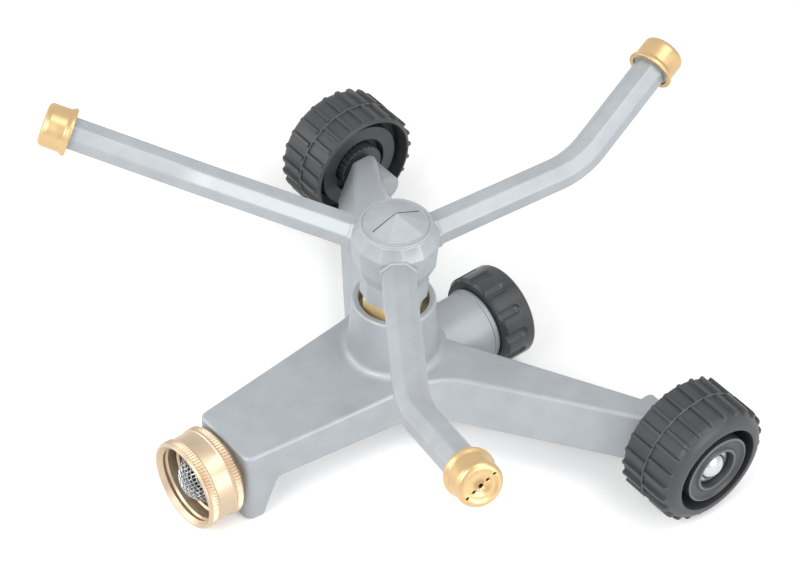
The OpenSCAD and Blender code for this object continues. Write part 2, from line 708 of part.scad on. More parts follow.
// Domed wire mesh with a flat rim, bulging towards the mouth of the coupling
module filter_screen() color(steel) along_pipe(washer_front_x - mesh_t) {
    cells = ceil(dome_rim_r / mesh_pitch);
    difference() {
        union() {
            ring(dome_rim_r + dome_flange_w, dome_rim_r - mesh_t, mesh_t - seat_gap);
            intersection() {
                translate([0, 0, dome_ball_r - dome_h]) difference() {
                    sphere(r = dome_ball_r);
                    sphere(r = dome_ball_r - mesh_t);
                }
                translate([0, 0, -dome_h - cut])
                    cylinder(r = dome_rim_r + mesh_t, h = dome_h + cut + mesh_t / 2);
            }
        }
        for (i = [-cells:cells], j = [-cells:cells])
            if (norm([i, j]) * mesh_pitch < dome_rim_r - mesh_pitch)
                translate([i * mesh_pitch, j * mesh_pitch, -dome_h / 2])
                    cube([mesh_pitch - mesh_wire, mesh_pitch - mesh_wire, 2 * dome_h], center = true);
    }
}

module nut_gasket() color(fibre) at_rotor() translate([0, 0, nut_seat_z]) {
    ring(nut_af / 2, nut_thread_r + seat_gap, nut_gasket_t - seat_gap);
}

// Hexagonal brass nut that carries the spindle
module bearing_nut() color(brass) at_rotor() {
    difference() {
        union() {
            translate([0, 0, nut_under_z]) rotate([0, 0, nut_heading])
                cylinder(r = nut_af / 2 / cos(30), h = nut_hex_h, $fn = 6);
            translate([0, 0, nut_shank_z])
                cylinder(r = nut_thread_r - seat_gap, h = nut_shank_h + seat_gap);
        }
        translate([0, 0, nut_shank_z - cut])
            cylinder(r = spindle_r + run_gap, h = nut_shank_h + nut_hex_h + 2 * cut);
    }
}

// Hollow brass spindle that turns in the nut and carries the rotor
module spindle() color(brass) at_rotor() {
    difference() {
        union() {
            translate([0, 0, spindle_z]) cylinder(r = spindle_flange_r, h = spindle_flange_t);
            translate([0, 0, spindle_z])
                cylinder(r = spindle_r, h = shoulder_z - spindle_z - seat_gap);
        }
        translate([0, 0, spindle_z - cut])
            cylinder(r = spindle_bore_r, h = shoulder_z - spindle_z + 2 * cut);
    }
}

module bearing_rubber() color(rubber) at_rotor()
    translate([0, 0, spindle_flange_z]) ring(spindle_flange_r, spindle_r + seat_gap, bearing_rubber_t);

module slip_washer() color(nylon) at_rotor()
    translate([0, 0, spindle_flange_z + bearing_rubber_t])
        ring(spindle_flange_r - loose_gap, spindle_r + seat_gap, slip_washer_t);

module thrust_washer() color(steel) at_rotor()
    translate([0, 0, spindle_flange_z + bearing_rubber_t + slip_washer_t])
        ring(spindle_flange_r - loose_gap, spindle_r + seat_gap, thrust_washer_t);

// Sealing ring between the spindle and the head's neck
module head_seal() color(rubber) at_rotor()
    translate([0, 0, head_seal_z]) sealing_ring(spindle_r + head_seal_d / 2 + seat_gap, head_seal_d);

// Twelve-sided cast head with three bosses and a round chamber
module rotor_head() color(silver) at_rotor() {
    difference() {
        union() {
            for (i = [0:len(head_levels) - 2])
                translate([0, 0, head_levels[i].y])
                    cylinder(r1 = head_levels[i].x, r2 = head_levels[i + 1].x,
                        h = head_levels[i + 1].y - head_levels[i].y, $fn = head_sides);
            translate([0, 0, head_rim_z - cut]) cylinder(r = head_rim_r, h = head_rim_h + cut);
            for (k = [0:arm_count - 1])
                translate([0, 0, arm_z]) rotate([0, 90, arm_angle(k)]) rotate([0, 0, 22.5])
                    cylinder(r = arm_boss_af / 2 / cos(22.5), h = arm_boss_reach, $fn = 8);
        }
        translate([0, 0, shoulder_z]) cylinder(r = chamber_r, h = head_h + cut);
        translate([0, 0, cap_seat_z]) cylinder(r = cap_seat_r, h = rotor_cap_t + cut);
        translate([0, 0, neck_z - cut]) cylinder(r = spindle_r + seat_gap, h = neck_h + 2 * cut);
        translate([0, 0, neck_z + head_seal_inset])
            cylinder(r = spindle_r + head_seal_d + 2 * seat_gap, h = head_seal_d);
        for (k = [0:arm_count - 1])
            translate([0, 0, arm_z]) rotate([0, 90, arm_angle(k)])
                cylinder(r = arm_root_r, h = arm_boss_reach + cut);
    }
}

// Sealing ring round the plug of the rotor cap
module cap_seal() color(rubber) at_rotor()
    translate([0, 0, cap_seal_z]) sealing_ring(chamber_r - cap_seal_d / 2 - seat_gap, cap_seal_d);

// Cap that closes the head's chamber, with a shallow pyramid on top
module rotor_cap() color(silver) at_rotor() {
    difference() {
        union() {
            translate([0, 0, cap_seat_z]) cylinder(r = cap_seat_r - seat_gap, h = rotor_cap_t);
            translate([0, 0, head_top_z])
                cylinder(r1 = cap_seat_r - pyramid_inset, r2 = 0, h = pyramid_h, $fn = pyramid_sides);
            translate([0, 0, cap_seat_z - cap_plug_h])
                cylinder(r = chamber_r - seat_gap, h = cap_plug_h + seat_gap);
        }
        translate([0, 0, cap_seal_z - cap_seal_d / 2])
            ring(chamber_r + cut, chamber_r - cap_seal_d - 2 * seat_gap, cap_seal_d);
    }
}

// Carries its children to distance s past the bend's corner of arm k, with X along the tip
module at_tip(k, s) {
    at_rotor() rotate([0, 0, arm_angle(k)])
        translate([arm_reach, 0, arm_z]) rotate([bend_roll, 0, 0]) rotate([0, 0, bend_angle])
            translate([s, 0, 0]) children();
}

// Section of an arm: an octagon with level flats round the water way
module arm_section(turn, across, bore_r) {
    difference() {
        rotate(22.5 + turn) circle(r = across / 2 / cos(22.5), $fn = 8);
        circle(r = bore_r);
    }
}

// Places its children in an arm's bend plane at distance s past the bend's corner, with Z outwards
module past_bend(s) {
    translate([arm_reach, 0, 0]) rotate([0, 0, bend_angle])
        translate([s, 0, 0]) rotate([0, 90, 0]) children();
}

// Bent octagonal arm with a round root in the head and a round collar in the nozzle
module arm(k) color(silver) at_rotor() rotate([0, 0, arm_angle(k)]) translate([0, 0, arm_z]) {
    collar_x = arm_tip_len + collar_inset;
    root_end = arm_boss_reach + seat_gap;
    end_bore_r = arm_bore_r + lap_step;
    nose_r = collar_r - nozzle_ring_d - seat_gap;
    nose_len = arm_end_len - collar_x;
    rotate([bend_roll, 0, 0]) {
        translate([chamber_r, 0, 0]) rotate([0, 90, 0])
            ring(arm_root_r - seat_gap, end_bore_r, root_end - chamber_r + lap);
        translate([root_end, 0, 0]) rotate([90, 0, 90])
            linear_extrude(arm_reach - bend_tangent - root_end + lap)
                arm_section(-bend_roll, arm_af, arm_bore_r);
        translate([arm_reach - bend_tangent, bend_r, 0]) rotate([0, 0, -90])
            rotate_extrude(angle = bend_angle) translate([bend_r, 0])
                arm_section(bend_roll, arm_af + 2 * lap_step, arm_bore_r - bend_bore_step);
        past_bend(bend_tangent - lap) rotate([0, 0, 90])
            linear_extrude(collar_x - bend_tangent + 2 * lap)
                arm_section(-bend_roll, arm_af, arm_bore_r);
        past_bend(collar_x) rotate_extrude()
            polygon([[end_bore_r, 0], [collar_r, 0], [collar_r, collar_len],
                [nose_r, collar_len], [nose_r, nose_len], [end_bore_r, nose_len]]);
    }
}
module arm_front() arm(0);
module arm_right() arm(1);
module arm_left() arm(2);

// Sealing ring behind the collar, which holds the nozzle by friction
module nozzle_ring(k) color(rubber)
    at_tip(k, arm_tip_len + collar_inset + collar_len + nozzle_ring_d / 2 + seat_gap) rotate([0, 90, 0])
        sealing_ring(collar_r - nozzle_ring_d / 2, nozzle_ring_d);
module nozzle_ring_front() nozzle_ring(0);
module nozzle_ring_right() nozzle_ring(1);
module nozzle_ring_left() nozzle_ring(2);

// Brass cap that turns on the arm's collar, with a row of five jets in its end
module nozzle(k) color(brass) at_tip(k, arm_tip_len) rotate([0, 90, 0]) {
    bore_r = nozzle_r - nozzle_wall;
    body_r = nozzle_r - nozzle_band_h;
    edge = [for (i = [0:corner_steps])
        let (t = 90 * i / corner_steps)
        [body_r - nozzle_edge_r * (1 - cos(t)), nozzle_len - nozzle_edge_r * (1 - sin(t))]];
    difference() {
        rotate_extrude()
            polygon(concat([[0, 0], [nozzle_r, 0], [nozzle_r, nozzle_band_len]],
                [[body_r, 2 * nozzle_band_len]], edge, [[0, nozzle_len]]));
        translate([0, 0, -cut]) cylinder(r = bore_r, h = nozzle_len - nozzle_end_t + cut);
        for (i = [-2:2])
            rotate([0, 0, jet_row_angle + 90]) translate([i * jet_pitch, 0, 0])
                cylinder(r = i == 0 ? jet_mid_r : jet_r, h = nozzle_len + cut);
    }
}
module nozzle_front() nozzle(0);
module nozzle_right() nozzle(1);
module nozzle_left() nozzle(2);

// Steel pin with a domed head, pressed into the leg's boss
module axle(side) color(steel) on_axle(side) {
    tail = axle_boss_y - wheel_in_y - axle_hole_len;
    head_base = washer_seat + face_gap + axle_washer_t;
    dome_r = (axle_head_h * axle_head_h + axle_head_r * axle_head_r) / (2 * axle_head_h);
    translate([0, 0, tail]) cylinder(r = axle_r, h = head_base - tail + seat_gap);
    intersection() {
        translate([0, 0, head_base]) cylinder(r = axle_head_r, h = axle_head_h);
        translate([0, 0, head_base + axle_head_h - dome_r]) sphere(r = dome_r);
    }
}
module axle_right() axle(-1);
module axle_left() axle(1);

module axle_washer(side) color(steel) on_axle(side)
    translate([0, 0, washer_seat + face_gap])
        ring(axle_washer_r, axle_r + seat_gap, axle_washer_t - seat_gap);
module axle_washer_right() axle_washer(-1);
module axle_washer_left() axle_washer(1);

// Moulded wheel with two staggered rows of lugs, a grooved face and a recessed hub
module wheel(side) color(charcoal) on_axle(side) {
    tread_r = wheel_r - lug_h;
    face_r = rim_in_r + rim_lip_w;
    lug_out = sqrt(wheel_r * wheel_r - lug_w * lug_w / 4);
    lug_end = wheel_w - shoulder_len + lug_overrun;
    rows = [[lug_start, lug_middle - lug_row_gap / 2], [lug_middle + lug_row_gap / 2, lug_end]];
    shoulder = [for (i = [0:corner_steps])
        let (t = 90 * i / corner_steps)
        [face_r + (tread_r - face_r) * cos(t), wheel_w - shoulder_len * (1 - sin(t))]];
    difference() {
        union() {
            rotate_extrude()
                polygon(concat([[0, 0], [tread_r - tread_bevel, 0], [tread_r, tread_bevel]],
                    shoulder, [[0, wheel_w]]));
            for (row = [0, 1], i = [0:lug_count - 1])
                rotate([0, 0, 360 * (i + row / 2) / lug_count])
                    translate([face_r, -lug_w / 2, rows[row][0]])
                        cube([lug_out - face_r, lug_w, rows[row][1] - rows[row][0]]);
        }
        translate([0, 0, wheel_w - groove_depth]) ring(rim_in_r, hub_r, groove_depth + cut);
        translate([0, 0, washer_seat]) cylinder(r = head_recess_r, h = head_recess_depth + cut);
        translate([0, 0, -cut]) cylinder(r = hub_in_r, h = hub_in + cut);
        translate([0, 0, -cut]) ring(web_r, hub_in_r, web_depth + cut);
        translate([0, 0, -cut]) ring(hub_groove_r, hub_in_r, hub_groove_depth + cut);
        translate([0, 0, -cut]) ring(inner_rim_r, web_r, inner_groove_depth + cut);
        translate([0, 0, -cut]) cylinder(r = axle_r + run_gap, h = wheel_w + 2 * cut);
    }
}
module wheel_right() wheel(-1);
module wheel_left() wheel(1);

// Threaded plastic cap that closes the outlet
module outlet_cap() color(charcoal) along_pipe(cap_near_x) {
    cap_len = cap_far_x - cap_near_x;
    flute_len = cap_len - cap_flute_end;
    round_edge = [for (i = [0:corner_steps])
        let (t = 90 * i / corner_steps)
        [cap_r - cap_round * (1 - cos(t)), cap_len - cap_round * (1 - sin(t))]];
    difference() {
        rotate_extrude()
            polygon(concat([[0, 0], [cap_r - cap_bevel, 0], [cap_r, cap_bevel]],
                round_edge, [[0, cap_len]]));
        translate([0, 0, -cut]) cylinder(r = outlet_thread_r + run_gap, h = cap_floor_x - cap_near_x + cut);
        for (i = [0:cap_flutes - 1])
            rotate([0, 0, 360 * (i + 0.5) / cap_flutes])
                translate([cap_r + cap_flute_r - cap_flute_depth, 0, 0]) {
                    translate([0, 0, -cut]) cylinder(r = cap_flute_r, h = flute_len + cut);
                    translate([0, 0, flute_len]) sphere(r = cap_flute_r);
                }
    }
}

module outlet_washer() color(rubber) along_pipe(outlet_end_x + seat_gap) {
    ring(outlet_thread_r - loose_gap, water_r + loose_gap, cap_washer_t - 2 * seat_gap);
}

base_casting();
inlet_nipple();
hose_coupling();
hose_washer();
filter_screen();
nut_gasket();
bearing_nut();
spindle();
bearing_rubber();
slip_washer();
thrust_washer();
head_seal();
rotor_head();
cap_seal();
rotor_cap();
arm_front();
arm_right();
arm_left();
nozzle_ring_front();
nozzle_ring_right();
nozzle_ring_left();
nozzle_front();
nozzle_right();
nozzle_left();
axle_right();
axle_left();
axle_washer_right();
axle_washer_left();
wheel_right();
wheel_left();
outlet_cap();
outlet_washer();
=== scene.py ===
"""Visual model of a three-arm rotary lawn sprinkler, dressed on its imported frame.

Every size is in millimetres in the part's own frame: X runs from the hose inlet to the capped
outlet, Z is up and the floor is at zero. A mesh turns them into metres when it is made.
"""

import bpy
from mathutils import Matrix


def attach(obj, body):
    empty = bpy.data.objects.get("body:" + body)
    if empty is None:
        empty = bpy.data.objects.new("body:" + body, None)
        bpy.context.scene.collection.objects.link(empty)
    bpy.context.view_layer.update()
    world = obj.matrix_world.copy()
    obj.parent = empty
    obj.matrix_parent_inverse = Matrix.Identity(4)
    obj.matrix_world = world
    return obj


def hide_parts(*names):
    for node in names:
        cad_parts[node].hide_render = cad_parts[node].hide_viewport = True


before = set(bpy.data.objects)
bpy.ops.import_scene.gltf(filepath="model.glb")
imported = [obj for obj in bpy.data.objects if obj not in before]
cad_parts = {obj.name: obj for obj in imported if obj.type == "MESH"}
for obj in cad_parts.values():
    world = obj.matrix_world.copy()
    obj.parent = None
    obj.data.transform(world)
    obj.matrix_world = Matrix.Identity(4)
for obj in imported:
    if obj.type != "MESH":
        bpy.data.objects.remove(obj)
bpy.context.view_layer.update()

import logging
import math
from dataclasses import dataclass, field
from enum import Enum
from functools import cached_property

import bmesh
import bpy
import numpy as np
from mathutils import Matrix, Vector

log = logging.getLogger("sprinkler")
MM = 0.001

# Sizes in millimetres that several pieces share, and the bearing of each arm in degrees
ROTOR_X = 71.5
PIPE_Z = 18.1
AXLE_Z = 23.6
ARM_Z = 79.3
HOSE_PITCH = 2.209
ARM_HEADINGS = {"front": -124.6, "right": -4.6, "left": 115.4}

# Points round a turned piece: the barrel, most pieces, small ones and those that hardly show
ROUND_LARGE = 144
ROUND = 128
ROUND_SMALL = 96
ROUND_HIDDEN = 64

# Turn in degrees that lays two flats of an octagon level
OCTAGON_TURN = 22.5

# Range of a noise that is stretched over 0 to 1
NOISE_RANGE = (0.3, 0.7)

# Distances in metres at which points of a mesh count as one and an edge as none
JOIN_GAP = 1e-7
NO_EDGE = 1e-8


class Body(Enum):
    """Bodies of the frame that pieces ride on."""

    BASE = "base"
    ROTOR = "rotor"
    COUPLING = "coupling"
    FILTER = "filter"
    CAP = "cap"


class Axis(Enum):
    """Axes that a shape drawn round Z can be turned about."""

    X = "X"
    Y = "Y"
    Z = "Z"


# Meshes


def smooth(value: np.ndarray, low: float, high: float) -> np.ndarray:
    """Smooth step: 3t squared minus 2t cubed, with t running from 0 at low to 1 at high."""
    t = np.clip((value - low) / (high - low), 0.0, 1.0)
    return t * t * (3.0 - 2.0 * t)


def turn(axis: Axis, degrees: float) -> np.ndarray:
    """Rotation matrix about one axis of the part's frame."""
    return np.array(Matrix.Rotation(math.radians(degrees), 3, axis.value))


@dataclass
class Surface:
    """Points in millimetres and the faces that join them.

    Each point also keeps its distance along the form and a weight from 0 to 1 of painted light,
    where the material paints a dark shadow line or a light highlight line.
    """

    points: np.ndarray
    faces: list[np.ndarray]
    along: np.ndarray
    mark: np.ndarray | None = None

    def __post_init__(self) -> None:
        """Leaves every point without painted light unless weights are given."""
        if self.mark is None:
            self.mark = np.zeros(len(self.points))

    def __add__(self, other: "Surface") -> "Surface":
        """Both surfaces as one, with the second one's faces counted on."""
        shift = len(self.points)
        return Surface(
            np.vstack([self.points, other.points]),
            self.faces + [block + shift for block in other.faces],
            np.concatenate([self.along, other.along]),
            np.concatenate([self.mark, other.mark]),
        )

    def placed(self, matrix: np.ndarray, shift: tuple[float, float, float]) -> "Surface":
        """The surface turned by the matrix, then moved by the shift."""
        return Surface(self.points @ matrix.T + np.array(shift), self.faces, self.along, self.mark)

    def moved(self, x: float) -> "Surface":
        """The surface moved along X."""
        return self.placed(np.eye(3), (x, 0.0, 0.0))

    def laid(self, x: float, z: float) -> "Surface":
        """The surface with its Z turned onto X, then moved to x and to the height z."""
        return self.placed(turn(Axis.Y, 90), (x, 0.0, z))


def grid(points: np.ndarray, closed: bool = False, start: bool = False, end: bool = False) -> Surface:
    """Joins rows of points that each run round a closed loop.

    Quad (i, j) joins points j and j + 1 of row i to the same points of row i + 1, counting j
    round the loop.

    Args:
        points: array of rows by columns by three coordinates.
        closed: joins the last row to the first.
        start: closes the first row with one flat face.
        end: closes the last row with one flat face.

    Returns:
        The joined surface, with the running length of its first column in along.
    """
    rows, columns = points.shape[:2]
    index = np.arange(rows * columns).reshape(rows, columns)
    ahead = np.roll(index, -1, axis=1)
    low = index if closed else index[:-1]
    low_ahead = ahead if closed else ahead[:-1]
    high = np.roll(index, -1, axis=0) if closed else index[1:]
    high_ahead = np.roll(ahead, -1, axis=0) if closed else ahead[1:]
    faces = [np.stack([low, low_ahead, high_ahead, high], -1).reshape(-1, 4)]
    if start:
        faces.append(index[:1, ::-1])
    if end:
        faces.append(index[-1:])
    steps = np.linalg.norm(np.diff(points[:, 0], axis=0), axis=-1)
    along = np.concatenate([[0.0], np.cumsum(steps)])
    return Surface(points.reshape(-1, 3), faces, np.repeat(along, columns))


def arcs(before: np.ndarray, here: np.ndarray, after: np.ndarray, radii: np.ndarray,
         steps: int) -> np.ndarray:
    """Rounds corners in a plane.

    The arc's centre lies on the corner's bisector at the radius over the sine of half the
    corner's angle, and its points turn evenly from one tangent point to the other.

    Args:
        before: point before each corner.
        here: the corners.
        after: point after each corner.
        radii: radius of each corner; 0 leaves it sharp.
        steps: steps in each arc.

    Returns:
        Array of corners by steps + 1 by two coordinates.
    """
    u = before - here
    v = after - here
    u = u / np.linalg.norm(u, axis=1, keepdims=True)
    v = v / np.linalg.norm(v, axis=1, keepdims=True)
    half = np.arccos(np.clip((u * v).sum(1), -1.0, 1.0)) / 2
    middle = (u + v) / np.linalg.norm(u + v, axis=1, keepdims=True)
    centre = here + middle * (radii / np.sin(half))[:, None]
    start = here + u * (radii / np.tan(half))[:, None] - centre
    way = -np.sign(u[:, 0] * v[:, 1] - u[:, 1] * v[:, 0])
    angle = way[:, None] * np.linspace(0, 1, steps + 1) * (math.pi - 2 * half)[:, None]
    cos, sin = np.cos(angle), np.sin(angle)
    x = start[:, :1] * cos - start[:, 1:] * sin
    y = start[:, :1] * sin + start[:, 1:] * cos
    return centre[:, None] + np.stack([x, y], -1)


def outline(corners: np.ndarray, radii: np.ndarray, steps: int, between: int) -> np.ndarray:
    """Closed outline with rounded corners and evenly spaced points on its straight edges.

    Args:
        corners: corner points in order.
        radii: radius of each corner.
        steps: steps in each corner's arc.
        between: points added on each straight edge.

    Returns:
        Array of points by two coordinates.
    """
    bends = arcs(np.roll(corners, 1, axis=0), corners, np.roll(corners, -1, axis=0), radii, steps)
    first = bends[:, -1][:, None]
    last = np.roll(bends[:, 0], -1, axis=0)[:, None]
    share = (0.5 - 0.5 * np.cos(np.linspace(0, math.pi, between + 2)[1:-1]))[None, :, None]
    edges = first + (last - first) * share
    return np.concatenate([bends, edges], axis=1).reshape(-1, 2)


def path(points: list[tuple[float, float, float]], steps: int = 6, hold: float = 0.2) -> np.ndarray:
    """Open profile with rounded corners, for turning round an axis.

    Args:
        points: radius, height and corner radius of each point.
        steps: steps in each rounded corner.
        hold: distance from a corner at which a long straight gets one more point, so that the
            straight shades flat.

    Returns:
        Array of points by radius and height.
    """
    given = np.array(points)
    bends = arcs(given[:-2, :2], given[1:-1, :2], given[2:, :2], given[1:-1, 2], steps)
    run = np.concatenate([given[:1, :2], bends.reshape(-1, 2), given[-1:, :2]])
    step = np.diff(run, axis=0)
    length = np.linalg.norm(step, axis=1)
    run = run[np.concatenate([[True], length > 1e-6])]
    step = np.diff(run, axis=0)
    length = np.linalg.norm(step, axis=1)
    long = np.nonzero(length > 3 * hold)[0]
    way = step[long] / length[long, None] * hold
    extra = np.stack([run[long] + way, run[long + 1] - way], 1).reshape(-1, 2)
    return np.insert(run, np.repeat(long + 1, 2), extra, axis=0)


def lathe(profile: np.ndarray, count: int = ROUND, closed: bool = False) -> Surface:
    """Turns a profile round Z: a point is (r cos a, r sin a, z).

    Args:
        profile: array of points by radius and height.
        count: points round the axis.
        closed: joins the profile's end to its start.

    Returns:
        The turned surface.
    """
    a = ring_angles(count)
    return shaped(profile, np.stack([np.cos(a), np.sin(a)], -1), closed)


def shaped(profile: np.ndarray, section: np.ndarray, closed: bool = False) -> Surface:
    """Carries a flat section up a profile: a point is (r times the section's point, z).

    Args:
        profile: array of points by radius and height.
        section: array of points by two coordinates, at radius 1.
        closed: joins the profile's end to its start.

    Returns:
        The carried surface.
    """
    flat = profile[:, None, :1] * section[None]
    high = np.broadcast_to(profile[:, None, 1:], (len(profile), len(section), 1))
    return grid(np.concatenate([flat, high], axis=-1), closed)


def polygon_section(sides: int, rounding: float, steps: int = 4, between: int = 4,
                    phase: float = 0.0) -> np.ndarray:
    """Regular polygon of corner radius 1 with rounded corners, as a section for shaped()."""
    a = math.radians(phase) + ring_angles(sides)
    corners = np.stack([np.cos(a), np.sin(a)], -1)
    return outline(corners, np.full(sides, rounding), steps, between)


def ring_angles(count: int) -> np.ndarray:
    """Angles of points spread evenly round a full turn."""
    return np.arange(count) * 2 * math.pi / count


def turned(radius: np.ndarray, angles: np.ndarray, high: np.ndarray) -> np.ndarray:
    """Rows of points (r cos a, r sin a, z) for a radius that changes with row and angle."""
    level = np.broadcast_to(high[:, None], radius.shape)
    return np.stack([radius * np.cos(angles), radius * np.sin(angles), level], -1)


def refined(profile: np.ndarray, step: float, inside: float = 0.0) -> np.ndarray:
    """Adds even points to a profile's straights.

    Args:
        profile: array of points by radius and height.
        step: longest straight left as it is.
        inside: radius within which a straight stays as it is.

    Returns:
        The denser profile.
    """
    dense = [profile[:1]]
    for a, b in zip(profile[:-1], profile[1:]):
        parts = max(1, int(np.linalg.norm(b - a) / step)) if b[0] > inside else 1
        dense.append(a + (b - a) * np.linspace(0, 1, parts + 1)[1:, None])
    return np.concatenate(dense)


def make(name: str, surface: Surface, sharp: float = 40.0) -> bpy.types.Object:
    """Makes a mesh object at the origin from a surface in millimetres.

    Points that coincide are joined, faces are turned outwards, and edges sharper than the
    given angle stay sharp.

    Args:
        name: name of the piece.
        surface: the surface to make.
        sharp: angle in degrees above which an edge is shaded sharp.

    Returns:
        The new object, linked to the scene.
    """
    mesh = bpy.data.meshes.new(name)
    faces = [face for block in surface.faces for face in block.tolist()]
    mesh.from_pydata((surface.points * MM).tolist(), [], faces)
    # along and the weight of painted light become point attributes that the materials read
    for label, values in (("along", surface.along), ("mark", surface.mark)):
        mesh.attributes.new(label, "FLOAT", "POINT").data.foreach_set("value", values)
    tidy = bmesh.new()
    tidy.from_mesh(mesh)
    bmesh.ops.remove_doubles(tidy, verts=tidy.verts, dist=JOIN_GAP)
    bmesh.ops.dissolve_degenerate(tidy, edges=tidy.edges, dist=NO_EDGE)
    bmesh.ops.recalc_face_normals(tidy, faces=tidy.faces)
    tidy.to_mesh(mesh)
    tidy.free()
    mesh.shade_smooth()
    mesh.set_sharp_from_angle(angle=math.radians(sharp))
    piece = bpy.data.objects.new(name, mesh)
    bpy.context.scene.collection.objects.link(piece)
    return piece


# Materials


class Signal:
    """A number inside a material, written with Python's own operators."""

    def __init__(self, graph: "Graph", socket: bpy.types.NodeSocket) -> None:
        """Wraps one output socket of the graph."""
        self.graph = graph
        self.socket = socket

    def __add__(self, other: "Signal | float") -> "Signal":
        """Sum."""
        return self.graph.maths("ADD", self, other)

    def __radd__(self, other: float) -> "Signal":
        """Sum with a plain number first."""
        return self.graph.maths("ADD", other, self)

    def __sub__(self, other: "Signal | float") -> "Signal":
        """Difference."""
        return self.graph.maths("SUBTRACT", self, other)

    def __rsub__(self, other: float) -> "Signal":
        """Difference from a plain number."""
        return self.graph.maths("SUBTRACT", other, self)

    def __mul__(self, other: "Signal | float") -> "Signal":
        """Product."""
        return self.graph.maths("MULTIPLY", self, other)

    def __rmul__(self, other: float) -> "Signal":
        """Product with a plain number first."""
        return self.graph.maths("MULTIPLY", other, self)

    def between(self, low: float, high: float) -> "Signal":
        """The number carried smoothly from the range low to high onto 0 to 1."""
        return self.graph.node(
            "ShaderNodeMapRange",
            {"interpolation_type": "SMOOTHSTEP", "clamp": True},
            {"Value": self, "From Min": low, "From Max": high, "To Min": 0.0, "To Max": 1.0},
        ).signal("Result")


class Placed:
    """A node in a graph, with its outputs as signals."""

    def __init__(self, graph: "Graph", node: bpy.types.Node) -> None:
        """Keeps the node and its graph."""
        self.graph = graph
        self.node = node

    def signal(self, output: str | int = 0) -> Signal:
        """One output of the node, by name or number."""
        return Signal(self.graph, self.node.outputs[output])


Colour = tuple[float, float, float]


def linear(colour: Colour, share: float = 1.0) -> tuple[float, float, float, float]:
    """Linear light of a display colour given in 0 to 255, scaled by share."""
    def channel(c: float) -> float:
        """One channel, by the display curve's straight foot and its power of 2.4."""
        c = c / 255.0
        return c / 12.92 if c <= 0.04045 else ((c + 0.055) / 1.055) ** 2.4
    return tuple(min(channel(c) * share, 1.0) for c in colour) + (1.0,)


class Graph:
    """Node graph of a material or of the surroundings."""

    def __init__(self, owner: bpy.types.Material | bpy.types.World) -> None:
        """Empties the owner's tree."""
        owner.use_nodes = True
        self.owner = owner
        self.tree = owner.node_tree
        self.tree.nodes.clear()

    @cached_property
    def place(self) -> "Signal":
        """Place on the object, in its own coordinates."""
        return self.node("ShaderNodeTexCoord", {}, {}).signal("Object")

    def looked_at(self) -> "Signal":
        """One where the camera, a mirror image or a see-through ray looks, and zero elsewhere."""
        ray = self.node("ShaderNodeLightPath", {}, {})
        seen = self.maths("MAXIMUM", ray.signal("Is Camera Ray"), ray.signal("Is Glossy Ray"))
        return self.maths("MAXIMUM", seen, ray.signal("Is Transmission Ray"))

    def node(self, kind: str, settings: dict[str, object], inputs: dict[str | int, object]) -> Placed:
        """Adds one node.

        Args:
            kind: the node's type.
            settings: its options, such as a Math node's operation.
            inputs: a value or a signal for each named or numbered input.

        Returns:
            The placed node.
        """
        made = self.tree.nodes.new(kind)
        for key, value in settings.items():
            setattr(made, key, value)
        for key, value in inputs.items():
            if isinstance(value, Signal):
                self.tree.links.new(value.socket, made.inputs[key])
            else:
                made.inputs[key].default_value = value
        return Placed(self, made)

    def maths(self, operation: str, *terms: "Signal | float") -> Signal:
        """Adds a Math node on the given terms."""
        return self.node("ShaderNodeMath", {"operation": operation}, dict(enumerate(terms))).signal()

    def noise(self, size: float, detail: float = 2.0, stretch: Colour = (1.0, 1.0, 1.0)) -> Signal:
        """Noise between 0 and 1 whose blotches measure about size millimetres."""
        spot = self.node("ShaderNodeMapping", {}, {"Vector": self.place, "Scale": stretch}).signal()
        inputs = {"Vector": spot, "Scale": 1.0 / (size * MM), "Detail": detail, "Roughness": 0.5}
        return self.node("ShaderNodeTexNoise", {}, inputs).signal(0)

    def attribute(self, name: str) -> Signal:
        """A number that the mesh keeps at each point."""
        return self.node("ShaderNodeAttribute", {"attribute_name": name}, {}).signal("Fac")

    def rings(self, size: float) -> Signal:
        """Noise that changes only with the distance along a turned piece, as a lathe tool leaves."""
        inputs = {"W": self.attribute("along"), "Scale": 1.0 / size, "Detail": 3.0}
        return self.node("ShaderNodeTexNoise", {"noise_dimensions": "1D"}, inputs).signal(0)

    def mix(self, share: Signal, first: tuple | Signal, second: tuple) -> Signal:
        """Colour between first and second."""
        inputs = {"Factor": share, 6: first, 7: second}
        return self.node("ShaderNodeMix", {"data_type": "RGBA"}, inputs).signal(2)

    def shade(self, share: Signal, colour: Colour, dark: float, light: float) -> Signal:
        """Colour between a darker and a lighter tone of one colour."""
        return self.mix(share, linear(colour, dark), linear(colour, light))

    def bump(self, height: Signal, depth: float) -> Signal:
        """Normal of a surface whose height of 0 to 1 stands depth millimetres high."""
        inputs = {"Height": height, "Distance": depth * MM, "Strength": 1.0}
        return self.node("ShaderNodeBump", {}, inputs).signal("Normal")

    def finish(self, colour: Signal, rough: Signal, normal: Signal,
               constants: dict[str, float]) -> bpy.types.Material:
        """Feeds the surface shader and returns the material."""
        inputs = {"Base Color": colour, "Roughness": rough, "Normal": normal} | constants
        shader = self.node("ShaderNodeBsdfPrincipled", {}, inputs).signal("BSDF")
        self.node("ShaderNodeOutputMaterial", {}, {"Surface": shader})
        return self.owner


